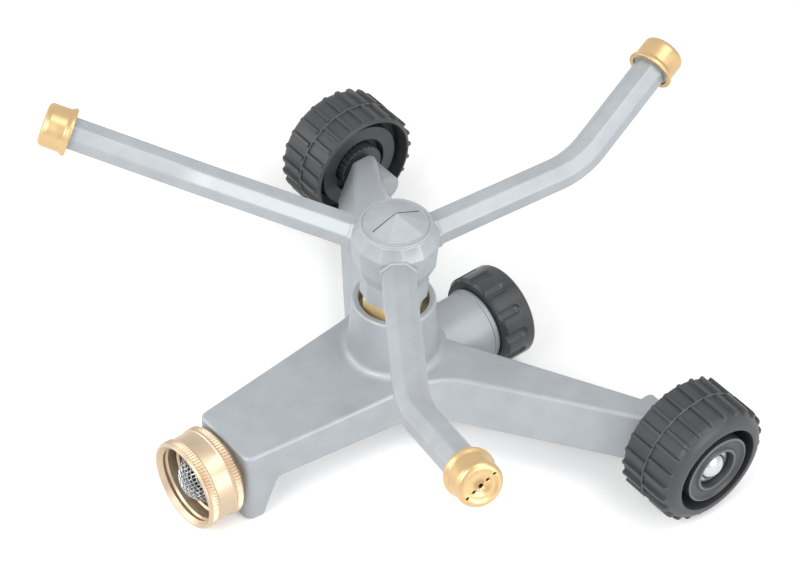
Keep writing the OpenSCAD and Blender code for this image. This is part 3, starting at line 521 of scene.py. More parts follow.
@dataclass(frozen=True)
class CastPaint:
    """Silver paint on a sand or die casting: fine metal flake over a slightly uneven skin."""

    name: str
    colour: Colour
    metallic: float = 0.35
    rough: float = 0.48
    skin: float = 0.03
    mark: float = 0.0
    painted_light_tone: float = 0.12
    dark: float = 0.9
    light: float = 1.09
    cloud_size: float = 9.0
    flake_size: float = 0.22
    coarse_size: float = 1.4
    fine_size: float = 0.3

    def material(self) -> bpy.types.Material:
        """Flake and cloud shift the colour, the weight of painted light darkens it into a painted
        shadow line, and two scales of skin make the bump."""
        g = Graph(bpy.data.materials.new(self.name))
        cloud = g.noise(self.cloud_size, 3.0).between(*NOISE_RANGE)
        flake = g.noise(self.flake_size, 1.0).between(0.35, 0.65)
        colour = g.shade(cloud * 0.5 + flake * 0.5, self.colour, self.dark, self.light)
        # Painted shade: weighted points darken to a small share of the colour, a shadow painted in as a dark
        # line
        if self.mark:
            colour = g.mix(g.attribute("mark") * self.mark, colour, linear(self.colour, self.painted_light_tone))
        skin = g.noise(self.coarse_size, 3.0) * 0.8 + g.noise(self.fine_size, 1.0) * 0.2
        rough = (flake * 0.06 + cloud * 0.05) + (self.rough - 0.05)
        return g.finish(colour, rough, g.bump(skin, self.skin), {"Metallic": self.metallic, "IOR": 1.5})


@dataclass(frozen=True)
class TurnedMetal:
    """Turned or spun metal with faint tool rings and handling haze."""

    name: str
    colour: Colour
    rough: float = 0.27
    ring: float = 0.004
    metallic: float = 0.9
    dark: float = 0.9
    light: float = 1.06
    haze_size: float = 5.0
    grain_size: float = 0.35
    ring_size: float = 0.16

    def material(self) -> bpy.types.Material:
        """Haze shifts colour and roughness; rings along the piece make the bump."""
        g = Graph(bpy.data.materials.new(self.name))
        haze = g.noise(self.haze_size, 4.0).between(*NOISE_RANGE)
        grain = g.noise(self.grain_size, 2.0).between(*NOISE_RANGE)
        rings = g.rings(self.ring_size)
        tone = haze * 0.5 + grain * 0.2 + rings * 0.3
        colour = g.shade(tone, self.colour, self.dark, self.light)
        rough = (haze * 0.09 + rings * 0.06) + (self.rough - 0.05)
        height = rings * 0.8 + grain * 0.2
        return g.finish(colour, rough, g.bump(height, self.ring), {"Metallic": self.metallic})


@dataclass(frozen=True)
class Moulded:
    """Moulded plastic or rubber with a fine spark texture and soft flow marks."""

    name: str
    colour: Colour
    rough: float = 0.42
    grain: float = 0.012
    grain_size: float = 0.35
    sheen: float = 0.0
    mark: float = 0.0
    painted_light_tone: float = 4.5
    dark: float = 0.88
    light: float = 1.14
    flow_size: float = 7.0
    flow_stretch: float = 1.6

    def material(self) -> bpy.types.Material:
        """Flow marks shift colour and roughness, the weight of painted light lightens it into a painted
        highlight, and the spark texture makes the bump."""
        g = Graph(bpy.data.materials.new(self.name))
        flow = g.noise(self.flow_size, 3.0, (1.0, 1.0, self.flow_stretch)).between(*NOISE_RANGE)
        spark = g.noise(self.grain_size, 2.0)
        colour = g.shade(flow * 0.6 + spark * 0.4, self.colour, self.dark, self.light)
        # Painted highlight: weighted points lighten to several times the colour, light caught on sharp edges
        # painted in
        if self.mark:
            colour = g.mix(g.attribute("mark") * self.mark, colour, linear(self.colour, self.painted_light_tone))
        rough = (flow * 0.08 + spark * 0.08) + (self.rough - 0.08)
        constants = {"Sheen Weight": self.sheen, "IOR": 1.5}
        return g.finish(colour, rough, g.bump(spark, self.grain), constants)


@dataclass
class Finishes:
    """Every finish of the sprinkler, kept by the record's slot names."""

    made: dict[str, bpy.types.Material] = field(default_factory=dict)

    def __post_init__(self) -> None:
        """Makes one material for each slot."""
        for slot, recipe in {
            # Cast paint darkens its weighted points into painted shadow lines; wheel plastic lightens its
            # weighted points into painted highlights
            "cast_silver": CastPaint("Cast silver paint", (171, 176, 180), mark=0.9),
            "arm_silver": CastPaint("Arm silver paint", (172, 177, 181), rough=0.46, skin=0.014),
            "coupling_brass": TurnedMetal("Coupling brass", (207, 186, 160), rough=0.36),
            "nut_brass": TurnedMetal("Nut brass", (238, 210, 158), rough=0.4, metallic=0.35),
            "nozzle_brass": TurnedMetal("Nozzle brass", (213, 182, 134), rough=0.33),
            "seal_rubber": Moulded("Seal rubber", (44, 44, 45), rough=0.6, sheen=0.1),
            "mesh_steel": TurnedMetal("Mesh steel", (190, 192, 194), rough=0.32, ring=0.001),
            "plain_steel": TurnedMetal("Plain steel", (205, 206, 208), rough=0.22, ring=0.002),
            "white_nylon": Moulded("White nylon", (232, 229, 220), rough=0.4),
            "red_fibre": Moulded("Red fibre", (138, 52, 38), rough=0.65, grain=0.03),
            "wheel_plastic": Moulded("Wheel plastic", (61, 63, 66), rough=0.44, mark=0.55),
            "cap_plastic": Moulded("Cap plastic", (60, 63, 65), rough=0.3, grain=0.006),
        }.items():
            self.made[slot] = recipe.material()

    def dress(self, piece: bpy.types.Object, slot: str) -> None:
        """Gives a piece its slot's material, in place of any other."""
        piece.data.materials.clear()
        piece.data.materials.append(self.made[slot])

    def settle(self, name: str, surface: Surface, body: str, slot: str, *nodes: str) -> bpy.types.Object:
        """Makes a piece, dresses it and puts it on its body.

        Args:
            name: name of the piece.
            surface: its surface in millimetres.
            body: body that it rides on.
            slot: material slot of its finish.
            nodes: CAD nodes that it stands for.

        Returns:
            The finished piece.
        """
        piece = make(name, surface)
        self.dress(piece, slot)
        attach(piece, body)
        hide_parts(*nodes)
        log.info("%s: %d faces on %s", name, len(piece.data.polygons), body)
        return piece


# Sub-assemblies


@dataclass
class Casting:
    """Three-legged base casting with its barrel, water pipe and axle bosses.

    hold is how far past a rounded edge one more row keeps a flat shading flat, crisp is the
    step that keeps an inner edge sharp, and sink is how far under the top hidden joints start.
    """

    rotor_x: float = ROTOR_X
    pipe_z: float = PIPE_Z
    top_z: float = 31.4
    wall: float = 3.0
    under_z: float = 15.2
    flare: float = 6.0
    front_len: float = 75.3
    front_root_w: float = 43.8
    front_end_w: float = 28.2
    front_under_z: float = 16.6
    foot_root_x: float = -61.8
    foot_heel_x: float = -67.5
    rear_reach: float = 86.0
    rear_root_w: float = 24.6
    rear_end_w: float = 9.6
    rear_mid_x: float = 54.5
    corner_r: float = 3.5
    blend_r: float = 27.0
    rear_corner_r: float = 2.0
    edge_r: float = 1.3
    under_r: float = 0.8
    foot_r: float = 2.0
    barrel_foot_r: float = 16.2
    barrel_top_r: float = 14.9
    barrel_top_z: float = 55.1
    barrel_fillet: float = 3.0
    barrel_rim: float = 1.1
    recess_r: float = 12.5
    recess_z: float = 50.0
    nut_thread_r: float = 9.5
    pipe_r: float = 9.5
    outlet_r: float = 13.6
    lip_x: float = 37.6
    lip_w: float = 1.8
    lip_h: float = 0.5
    thread_r: float = 13.3
    thread_len: float = 8.6
    pitch: float = HOSE_PITCH
    thread_depth: float = 0.9
    water_r: float = 6.0
    axle_x: float = 55.8
    axle_z: float = AXLE_Z
    boss_r: float = 5.5
    boss_y: float = 87.7
    boss_len: float = 15.0
    boss_edge: float = 0.5
    hold: float = 0.3
    inner_r: float = 0.4
    crisp: float = 0.1
    sink: float = 1.5
    foot_inset: float = 0.6
    foot_lap: float = 0.2
    foot_side_lap: float = 0.3
    foot_low_z: float = 0.05
    foot_rows: int = 9
    plug_w: float = 6.7
    plug_rise: float = 0.1
    skirt_w: float = 0.4
    skirt_lap: float = 0.02
    thread_share: float = 0.36
    water_depth: float = 8.0
    under_steps: int = 6
    top_steps: int = 7
    arc_steps: int = 9
    edge_points: int = 50

    @property
    def taper(self) -> float:
        """Distance by which each side of the front leg narrows over one millimetre."""
        return (self.front_root_w - self.front_end_w) / 2 / self.front_len

    def corners(self) -> np.ndarray:
        """Corners of the legs in plan, clockwise from the front leg's left corner."""
        slope = (self.rear_mid_x - self.rear_end_w / 2 + self.rear_root_w / 2) / self.rear_reach
        y = (self.front_root_w / 2 - self.taper * self.rear_root_w / 2) / (1 - self.taper * slope)
        x = slope * y - self.rear_root_w / 2
        near, far = self.rear_mid_x - self.rear_end_w / 2, self.rear_mid_x + self.rear_end_w / 2
        left = [[-self.front_len, self.front_end_w / 2], [x, y],
                [near, self.rear_reach], [far, self.rear_reach]]
        right = [[a, -b] for a, b in reversed(left)]
        return np.array(left + [[self.rear_root_w / 2, 0.0]] + right)

    def loop(self, inset: float, lean: float = 0.0) -> np.ndarray:
        """Outline of the legs moved inwards.

        Each corner moves so that its two edges shift by their own distances: all of them
        inwards by the inset, and the rear legs' long sides outwards by the lean. Outer corners
        lose the inset from their radius and the two blends gain it.

        Args:
            inset: distance moved inwards.
            lean: distance by which the rear legs' long sides move outwards.

        Returns:
            Array of points by two coordinates; the count depends on neither distance.
        """
        corners = self.corners()
        v = np.roll(corners, -1, axis=0) - corners
        v = v / np.linalg.norm(v, axis=1, keepdims=True)
        after = np.stack([-v[:, 1], v[:, 0]], -1)
        before = np.roll(after, 1, axis=0)
        t = lean * np.array([0, 1, 0, 1, 1, 0, 1, 0, 0]) - inset
        s = np.roll(t, 1)
        across = before[:, 0] * after[:, 1] - before[:, 1] * after[:, 0]
        moved = corners + np.stack([
            s * after[:, 1] - t * before[:, 1], t * before[:, 0] - s * after[:, 0]], -1) / across[:, None]
        near = np.maximum(np.array([self.corner_r, 0, self.rear_corner_r, self.rear_corner_r]) - inset, 0.05)
        near[1] = self.blend_r + inset
        radii = np.concatenate([near, [0.0], near[::-1]])
        return outline(moved, radii, self.arc_steps, self.edge_points)

    def legs(self) -> Surface:
        """Open-bottomed shell of the three legs.

        Rows run from the ceiling inside, down the inner wall, round the lower rim, up the outer
        wall and over the rounded top edge. Each row is the outline moved inwards by its own
        distance, and outwards by the lean times its depth below the top.
        """
        outer, one = self.loop(0.0), self.loop(1.0) - self.loop(0.0)
        lean = (self.loop(0.0, 1.0) - outer) * self.flare / (self.top_z - self.under_z)
        x = outer[:, 0]
        under = np.interp(x, [self.foot_heel_x, self.foot_root_x, 0.0],
                          [0.0, self.front_under_z, self.under_z])
        low_r = np.interp(x, [self.foot_heel_x, self.foot_root_x], [self.foot_r, self.under_r])
        ceiling = np.full_like(x, self.top_z - self.wall)
        rows = [
            (self.loop(self.wall + self.inner_r), ceiling), (self.loop(self.wall + self.crisp), ceiling),
            (self.loop(self.wall), ceiling - self.crisp), (self.loop(self.wall), under + self.inner_r),
            (self.loop(self.wall - self.inner_r), under)]
        for angle in np.radians(np.linspace(90, 0, self.under_steps)):
            rows.append((outer + one * (low_r * (1 - math.cos(angle)))[:, None],
                         under + low_r * (1 - math.sin(angle))))
        rows.append((outer, np.full_like(x, self.top_z - self.edge_r - self.hold)))
        for angle in np.radians(np.linspace(0, 90, self.top_steps)):
            inward, down = self.edge_r * (1 - math.cos(angle)), self.edge_r * (1 - math.sin(angle))
            rows.append((outer + one * inward, np.full_like(x, self.top_z - down)))
        rows.append((outer + one * (self.edge_r + self.hold), np.full_like(x, self.top_z)))
        points = np.stack([np.column_stack([plan + lean * (self.top_z - z)[:, None], z]) for plan, z in rows])
        return grid(points, start=True, end=True)

    def foot(self) -> Surface:
        """Solid foot between the front leg's walls: a rounded side profile carried across Y."""
        toe = -self.front_len + self.foot_inset
        corners = np.array([
            [toe, self.top_z - self.sink], [self.foot_root_x, self.top_z - self.sink],
            [self.foot_root_x, self.front_under_z + self.foot_lap],
            [self.foot_heel_x, self.foot_low_z], [toe, self.foot_low_z]])
        profile = outline(corners, np.array([0.0, 0.0, 1.0, self.foot_r, self.foot_r]), 6, 8)
        run = self.taper * (profile[:, 0] + self.front_len)
        half = self.front_end_w / 2 - self.wall + self.foot_side_lap + run
        across = np.linspace(-1, 1, self.foot_rows)[:, None] * half[None]
        x, z = (np.broadcast_to(profile[None, :, i], across.shape) for i in (0, 1))
        points = np.stack([x, across, z], -1)
        return grid(points, start=True, end=True)

    def barrel(self) -> Surface:
        """Barrel round the bearing nut, turned about the rotor's axis, with its recess."""
        skirt = self.barrel_foot_r + self.barrel_fillet
        low = self.pipe_z - self.pipe_r + self.plug_rise
        start, foot = self.top_z - self.sink, self.top_z + self.skirt_lap
        return lathe(path([
            (0.0, low, 0), (skirt - self.plug_w, low, 0.6), (skirt - self.plug_w, start, 0.4),
            (skirt + self.skirt_w, start, 0), (skirt + self.skirt_w, foot, 0),
            (self.barrel_foot_r + 0.2, foot, self.barrel_fillet),
            (self.barrel_top_r, self.barrel_top_z, self.barrel_rim), (self.recess_r, self.barrel_top_z, 0.4),
            (self.recess_r, self.recess_z, 0.3), (self.nut_thread_r, self.recess_z, 0.1),
            (self.nut_thread_r, self.top_z, 0), (0.0, self.top_z, 0)], 8), ROUND_LARGE)

    def thread(self) -> list[tuple[float, float, float]]:
        """Rounded thread profile from the lip outwards, as rings at the hose pitch."""
        start, half = self.lip_x + self.lip_w, self.pitch * self.thread_share
        turns = int(self.thread_len / self.pitch)
        rows = []
        for i in range(turns):
            x = start + self.pitch * (i + 0.5)
            rows += [(self.thread_r, x - half, 0.2), (self.thread_r - self.thread_depth, x, 0.25),
                     (self.thread_r, x + half, 0.2)]
        return rows

    def outlet(self) -> Surface:
        """Outlet tube with its lip, thread and bore, turned about the pipe's axis."""
        end = self.lip_x + self.lip_w + self.thread_len
        lip = self.outlet_r + self.lip_h
        profile = path(
            [(0.0, 0.0, 0), (self.outlet_r, 0.0, 0), (self.outlet_r, self.lip_x - 0.25, 0.25),
             (lip, self.lip_x - 0.25, 0.3), (lip, self.lip_x + self.lip_w, 0.5),
             (self.thread_r, self.lip_x + self.lip_w, 0.1)]
            + self.thread()
            + [(self.thread_r, end, 0.5), (self.water_r, end, 0.4), (self.water_r, self.water_depth, 0),
               (0.0, self.water_depth, 0)], 5)
        return lathe(profile).laid(0.0, self.pipe_z)

    def inlet_pipe(self) -> Surface:
        """Water pipe under the front leg, turned about its own axis."""
        profile = path([(0.0, 0.0, 0), (self.pipe_r, 0.0, 0), (self.pipe_r, -self.front_len, 0.2),
                        (0.0, -self.front_len, 0)])
        return lathe(profile, ROUND_SMALL).laid(0.0, self.pipe_z)

    def axle_boss(self, side: int) -> Surface:
        """Round boss at the end of a rear leg, turned about the axle."""
        tip = self.boss_y
        profile = path([(0.0, tip - self.boss_len, 0), (self.boss_r, tip - self.boss_len, 0),
                        (self.boss_r, tip, self.boss_edge), (0.0, tip, 0)])
        upright = lathe(profile, ROUND_HIDDEN)
        return upright.placed(turn(Axis.X, -side * 90), (self.axle_x, 0.0, self.axle_z))

    def dress(self, finishes: Finishes) -> None:
        """Builds the casting as one piece that stands for its CAD node."""
        whole = self.legs() + self.foot() + self.barrel() + self.outlet() + self.inlet_pipe()
        whole = (whole + self.axle_boss(-1) + self.axle_boss(1)).moved(self.rotor_x)
        finishes.settle("base_casting_skin", whole, Body.BASE.value, "cast_silver", "base_casting")


@dataclass
class BearingNut:
    """Hexagonal brass nut in the barrel's recess, with chamfered corners.

    The cone that bevels an end starts at bevel_share of half the width and widens by
    bevel_slope for each millimetre; bevel_rows are the heights of its rows above that end.
    """

    rotor_x: float = ROTOR_X
    across: float = 20.0
    heading: float = 10.0
    low_z: float = 50.6
    high_z: float = 58.6
    bore_r: float = 5.6
    bore_edge: float = 0.4
    bevel_share: float = 0.975
    bevel_slope: float = 1.73
    bevel_step: float = 0.2
    bevel_rows: tuple[float, ...] = (0.0, 0.05, 0.2, 0.4, 0.6, 0.8, 1.0, 1.2, 1.4)
    points: int = 192

    def surface(self) -> Surface:
        """Radius at an angle is the smaller of the hexagon's and of a cone that bevels each end."""
        a = ring_angles(self.points)
        flat = self.across / 2 / np.cos((a + math.pi / 6) % (math.pi / 3) - math.pi / 6)
        z = np.array(self.bevel_rows)
        z = np.concatenate([self.low_z + z, self.high_z - z[::-1]])
        end = np.minimum(z - self.low_z, self.high_z - z)
        cone = self.across / 2 * self.bevel_share + end * self.bevel_slope
        r = np.minimum(flat[None], cone[:, None])
        wall = turned(r, a, z)
        ring = np.stack([np.cos(a), np.sin(a), np.zeros_like(a)], -1)
        face = self.across / 2 * self.bevel_share - self.bevel_step
        inner = [(face, self.high_z), (self.bore_r + self.bore_edge, self.high_z),
                 (self.bore_r, self.high_z - self.bore_edge), (self.bore_r, self.low_z), (face, self.low_z)]
        bore = np.stack([ring * [q, q, 0] + [0, 0, h] for q, h in inner])
        return grid(np.concatenate([wall, bore]), closed=True)

    def dress(self, finishes: Finishes) -> None:
        """Builds the nut as one piece that stands for its CAD node."""
        placed = self.surface().placed(turn(Axis.Z, self.heading), (self.rotor_x, 0.0, 0.0))
        finishes.settle("bearing_nut_skin", placed, Body.BASE.value, "nut_brass", "bearing_nut")


@dataclass
class Head:
    """Twelve-sided rotor head with three bosses, and the pyramid cap that closes it."""

    rotor_x: float = ROTOR_X
    sides: int = 12
    low_z: float = 59.5
    neck_r: float = 12.3
    shoulder_z: float = 68.5
    flare_r: float = 12.9
    flare_z: float = 70.0
    belly_r: float = 15.1
    belly_z: float = 75.0
    wide_r: float = 15.7
    wide_z: float = 84.5
    rim_r: float = 12.7
    rim_z: float = 89.5
    top_z: float = 90.4
    seat_r: float = 11.7
    seat_depth: float = 2.8
    corner_share: float = 0.11
    spindle_r: float = 5.55
    arm_z: float = ARM_Z
    boss_across: float = 12.9
    boss_start: float = 5.0
    boss_reach: float = 15.9
    boss_edge: float = 0.6
    boss_corner_share: float = 0.16
    lid_gap: float = 0.03
    lid_depth: float = 2.5
    lid_edge: float = 0.35
    pyramid_h: float = 4.5
    pyramid_sink: float = 0.5
    pyramid_corner_share: float = 0.03
    pyramid_sides: int = 10
    pyramid_inset: float = 0.5
    # Two painted shadow lines down the cap's pyramid, each a narrow bar that the cast paint darkens
    shadow_line_headings: tuple[float, float] = (175.5, -4.0)
    shadow_line_start: float = 0.2
    shadow_line_len: float = 9.6
    shadow_line_w: float = 0.3
    shadow_line_sink: float = 0.4
    shadow_line_rise: float = 0.05

    def body(self) -> Surface:
        """Twelve-sided body: each row is the polygon at its radius, blending into a circle at
        the round rim."""
        profile = path([
            (self.spindle_r, self.low_z, 0), (self.neck_r, self.low_z, 0.5),
            (self.neck_r, self.shoulder_z, 1.0), (self.flare_r, self.flare_z, 1.0),
            (self.belly_r, self.belly_z, 2.5), (self.wide_r, self.wide_z, 1.2),
            (self.rim_r + 0.35, self.rim_z - 0.1, 0.35), (self.rim_r, self.rim_z + 0.1, 0.1),
            (self.rim_r, self.top_z, 0.45), (self.seat_r, self.top_z, 0.2),
            (self.seat_r, self.top_z - self.seat_depth, 0.1), (0.0, self.top_z - self.seat_depth, 0)], 5)
        section = polygon_section(self.sides, self.corner_share)
        circle = section / np.linalg.norm(section, axis=1, keepdims=True)
        blend = smooth(profile[:, 1], self.rim_z - 0.6, self.rim_z + 0.1)[:, None, None]
        plan = section[None] * (1 - blend) + circle[None] * blend
        flat = plan * profile[:, None, :1]
        high = np.broadcast_to(profile[:, None, 1:], flat.shape[:2] + (1,))
        lowest = profile[0, 0] * circle
        bottom = np.column_stack([lowest, np.full(len(lowest), self.top_z - self.seat_depth)])
        points = np.concatenate([flat, high], -1)
        points[0, :, :2] = lowest
        return grid(np.concatenate([bottom[None], points]), start=True)

    def boss(self, heading: float) -> Surface:
        """Eight-sided boss with level flats and a softened rim, carried along one arm."""
        r = self.boss_across / 2 / math.cos(math.radians(OCTAGON_TURN))
        profile = path([(0.0, self.boss_start, 0), (r, self.boss_start, 0),
                        (r, self.boss_reach, self.boss_edge), (0.0, self.boss_reach, 0)])
        section = polygon_section(8, self.boss_corner_share, phase=OCTAGON_TURN)
        lying = turn(Axis.Z, heading) @ turn(Axis.Y, 90)
        return shaped(profile, section).placed(lying, (0.0, 0.0, self.arm_z))

    def cap(self) -> Surface:
        """Round lid with a shallow pyramid: rows of a rounded polygon shrink to the apex."""
        r = self.seat_r - self.lid_gap
        under = self.top_z - self.lid_depth
        lid = path([(0.0, under, 0), (r, under, 0), (r, self.top_z, self.lid_edge), (0.0, self.top_z, 0)])
        low, sunk = self.seat_r - self.pyramid_inset, self.top_z - self.pyramid_sink
        slope = path([(0.0, sunk, 0), (low, sunk, 0), (low, self.top_z - 0.05, 0),
                      (0.35, self.top_z + self.pyramid_h * 0.97, 0.6),
                      (0.0, self.top_z + self.pyramid_h * 0.975, 0)])
        section = polygon_section(self.pyramid_sides, self.pyramid_corner_share, between=6)
        return lathe(lid) + shaped(slope, section)

    def shadow_line(self, heading: float) -> Surface:
        """Painted shadow line down the pyramid: a narrow bar whose height falls evenly from the apex."""
        run = np.array([self.shadow_line_start, self.shadow_line_len])
        high = self.top_z + self.pyramid_h * (1 - run / (self.seat_r - self.pyramid_inset))
        across = np.array([-1, 1, 1, -1]) * self.shadow_line_w / 2
        lift = np.array([-self.shadow_line_sink, -self.shadow_line_sink, self.shadow_line_rise, self.shadow_line_rise])
        parts = np.broadcast_arrays(run[:, None], across[None], high[:, None] + lift[None])
        points = np.stack(parts, -1).reshape(-1, 3)
        sides = [[i, (i + 1) % 4, (i + 1) % 4 + 4, i + 4] for i in range(4)]
        faces = np.array([[3, 2, 1, 0], [4, 5, 6, 7]] + sides)
        # Every point is fully weighted, so the cast paint shows the bar as a painted shadow
        bar = Surface(points, [faces], np.zeros(8), np.ones(8))
        return bar.placed(turn(Axis.Z, heading), (0.0, 0.0, 0.0))

    def dress(self, finishes: Finishes) -> None:
        """Builds head and cap as two pieces that stand for their CAD nodes."""
        body = self.body()
        for heading in ARM_HEADINGS.values():
            body = body + self.boss(heading)
        body = body.moved(self.rotor_x)
        finishes.settle("rotor_head_skin", body, Body.ROTOR.value, "cast_silver", "rotor_head")
        lid = self.cap()
        # The cap carries two painted shadow lines down its pyramid
        for heading in self.shadow_line_headings:
            lid = lid + self.shadow_line(heading)
        lid = lid.moved(self.rotor_x)
        finishes.settle("rotor_cap_skin", lid, Body.ROTOR.value, "cast_silver", "rotor_cap")


@dataclass
class Arm:
    """One bent octagonal arm with the brass nozzle on its tip."""

    name: str
    heading: float
    rotor_x: float = ROTOR_X
    arm_z: float = ARM_Z
    across: float = 11.6
    edge_r: float = 1.3
    root_x: float = 15.92
    root_r: float = 4.98
    root_depth: float = 8.0
    root_lap: float = 0.2
    reach: float = 77.9
    tip_len: float = 46.8
    bend_angle: float = 25.8
    bend_roll: float = 46.9
    bend_r: float = 42.0
    collar_r: float = 7.05
    collar_in: float = 0.6
    collar_len: float = 3.0
    nose_r: float = 5.43
    bore_r: float = 3.4
    end_gap: float = 1.4
    nozzle_r: float = 8.8
    nozzle_len: float = 10.5
    nozzle_wall: float = 1.7
    nozzle_end: float = 2.0
    nozzle_edge: float = 2.0
    band_len: float = 1.2
    band_h: float = 0.8
    dish: float = 0.3
    dish_r: float = 5.9
    jet_mid_r: float = 0.9
    jet_r: float = 0.6
    jet_pitch: float = 2.9
    jet_angle: float = -12.0
    jet_span: tuple[float, float] = (7.0, 13.0)
    jet_points: int = 32
    nozzle_sharp: float = 30.0
    water_depth: float = 2.0
    collar_edge: float = 0.3
    straight_rows: int = 14
    bend_rows: int = 25
    tip_rows: int = 10

    def section(self) -> np.ndarray:
        """Octagon with level flats and rounded edges, in the plane across the arm."""
        phase = math.radians(OCTAGON_TURN) + np.arange(8) * math.pi / 4
        corner = self.across / 2 / math.cos(math.radians(OCTAGON_TURN))
        corners = corner * np.stack([np.cos(phase), np.sin(phase)], -1)
        return outline(corners, np.full(8, self.edge_r), 5, 3)

    def bar(self) -> Surface:
        """Arm swept along its bent line.

        The bend lies in the plane of X and e, where e is Y rolled about X. Past angle f the
        line runs along cos f X + sin f e, and the section's share along e turns with it to
        -sin f X + cos f e, while its share across the bend plane keeps its direction.
        """
        roll = math.radians(self.bend_roll)
        e = np.array([0.0, math.cos(roll), math.sin(roll)])
        b = np.array([0.0, -math.sin(roll), math.cos(roll)])
        x = np.array([1.0, 0.0, 0.0])
        flat = self.section()
        along_e = flat[:, 0] * math.cos(roll) + flat[:, 1] * math.sin(roll)
        along_b = -flat[:, 0] * math.sin(roll) + flat[:, 1] * math.cos(roll)
        bend = math.radians(self.bend_angle)
        tangent = self.bend_r * math.tan(bend / 2)
        end = self.tip_len + self.collar_in
        straight = np.concatenate([
            [0.0, 0.3], np.linspace(1.0, self.reach - tangent - self.root_x, self.straight_rows - 2)])
        curve = np.linspace(0, bend, self.bend_rows + 1)[1:]
        f = np.concatenate([np.zeros(self.straight_rows), curve, np.full(self.tip_rows, bend)])
        start = x * self.root_x
        corner = x * (self.reach - tangent)
        way = x * math.cos(bend) + e * math.sin(bend)
        line = np.concatenate([
            start + straight[:, None] * x,
            corner + self.bend_r * (np.sin(curve)[:, None] * x + (1 - np.cos(curve))[:, None] * e),
            x * self.reach + np.linspace(tangent, end, self.tip_rows + 1)[1:, None] * way])
        normal = -np.sin(f)[:, None] * x + np.cos(f)[:, None] * e
        points = line[:, None] + along_e[None, :, None] * normal[:, None] + along_b[None, :, None] * b
        return grid(points, start=True, end=True)

    def to_tip(self, surface: Surface, distance: float) -> Surface:
        """Moves a shape drawn round Z onto the arm's tip, with Z pointing outwards."""
        bent = turn(Axis.X, self.bend_roll) @ turn(Axis.Z, self.bend_angle)
        way = bent @ np.array([distance, 0.0, 0.0])
        return surface.placed(bent @ turn(Axis.Y, 90), (self.reach + way[0], way[1], way[2]))

    def to_rotor(self, surface: Surface) -> Surface:
        """Moves a shape from the arm's own frame onto the rotor."""
        return surface.placed(turn(Axis.Z, self.heading), (self.rotor_x, 0.0, self.arm_z))

    def collar(self) -> Surface:
        """Round collar and nose that the nozzle turns on, with the open end of the water way."""
        start = self.tip_len + self.collar_in
        length = self.nozzle_len - self.nozzle_end - self.end_gap - self.collar_in
        edge = self.collar_edge
        profile = path([(0.0, 0.05, 0), (self.collar_r, 0.05, edge), (self.collar_r, self.collar_len, edge),
                        (self.nose_r, self.collar_len, 0), (self.nose_r, length, edge),
                        (self.bore_r, length, 0.2), (self.bore_r, self.water_depth, 0),
                        (0.0, self.water_depth, 0)])
        return self.to_tip(lathe(profile, ROUND_SMALL), start)

    def root(self) -> Surface:
        """Round root of the arm in the head's boss, a plain plug turned about X."""
        inner, outer = -self.root_depth, self.root_lap
        profile = path([(0.0, inner, 0), (self.root_r, inner, 0), (self.root_r, outer, 0), (0.0, outer, 0)])
        return lathe(profile, ROUND_HIDDEN).laid(self.root_x, 0.0)

    def nozzle(self) -> Surface:
        """Brass nozzle cap: a flared rim at the arm's side, a straight body, and a dished end."""
        body, length = self.nozzle_r - self.band_h, self.nozzle_len
        bore = self.nozzle_r - self.nozzle_wall
        profile = path([
            (0.0, length - self.nozzle_end, 0), (bore, length - self.nozzle_end, 0.3), (bore, 0.0, 0.4),
            (self.nozzle_r, 0.0, 0.35), (self.nozzle_r, self.band_len, 0.5), (body, 2 * self.band_len, 0.9),
            (body, length, self.nozzle_edge), (self.dish_r, length, 0.2),
            (self.dish_r - 1.2, length - self.dish, 0.8), (0.0, length - self.dish, 0)], 7)
        return lathe(profile)

    def jets(self) -> Surface:
        """Five round cutters in one row across the nozzle's end, the middle one larger."""
        low, high = self.jet_span
        whole = None
        for i in range(-2, 3):
            r = self.jet_mid_r if i == 0 else self.jet_r
            pin = lathe(path([(0.0, low, 0), (r, low, 0), (r, high, 0), (0.0, high, 0)]), self.jet_points)
            pin = pin.moved(i * self.jet_pitch)
            whole = pin if whole is None else whole + pin
        return whole.placed(turn(Axis.Z, self.jet_angle + 90), (0.0, 0.0, 0.0))

    def drilled(self, name: str) -> bpy.types.Object:
        """Nozzle with its jets cut out, as a finished mesh at the origin."""
        piece = make(name, self.to_rotor(self.to_tip(self.nozzle(), self.tip_len)), self.nozzle_sharp)
        cutter = make(name + "_cutter", self.to_rotor(self.to_tip(self.jets(), self.tip_len)))
        cut = piece.modifiers.new("jets", "BOOLEAN")
        cut.operation, cut.object, cut.solver = "DIFFERENCE", cutter, "EXACT"
        bpy.context.view_layer.update()
        whole = bpy.data.meshes.new_from_object(piece.evaluated_get(bpy.context.evaluated_depsgraph_get()))
        piece.modifiers.clear()
        piece.data = whole
        bpy.data.objects.remove(cutter)
        return piece

    def dress(self, finishes: Finishes) -> None:
        """Builds arm and nozzle as two pieces that stand for their CAD nodes."""
        arm = self.to_rotor(self.bar() + self.collar() + self.root())
        finishes.settle(f"arm_{self.name}_skin", arm, Body.ROTOR.value, "arm_silver", f"arm_{self.name}")
        nozzle = self.drilled(f"nozzle_{self.name}_skin")
        finishes.dress(nozzle, "nozzle_brass")
        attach(nozzle, f"{self.name}_nozzle")
        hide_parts(f"nozzle_{self.name}")
        log.info("%s: %d faces", nozzle.name, len(nozzle.data.polygons))


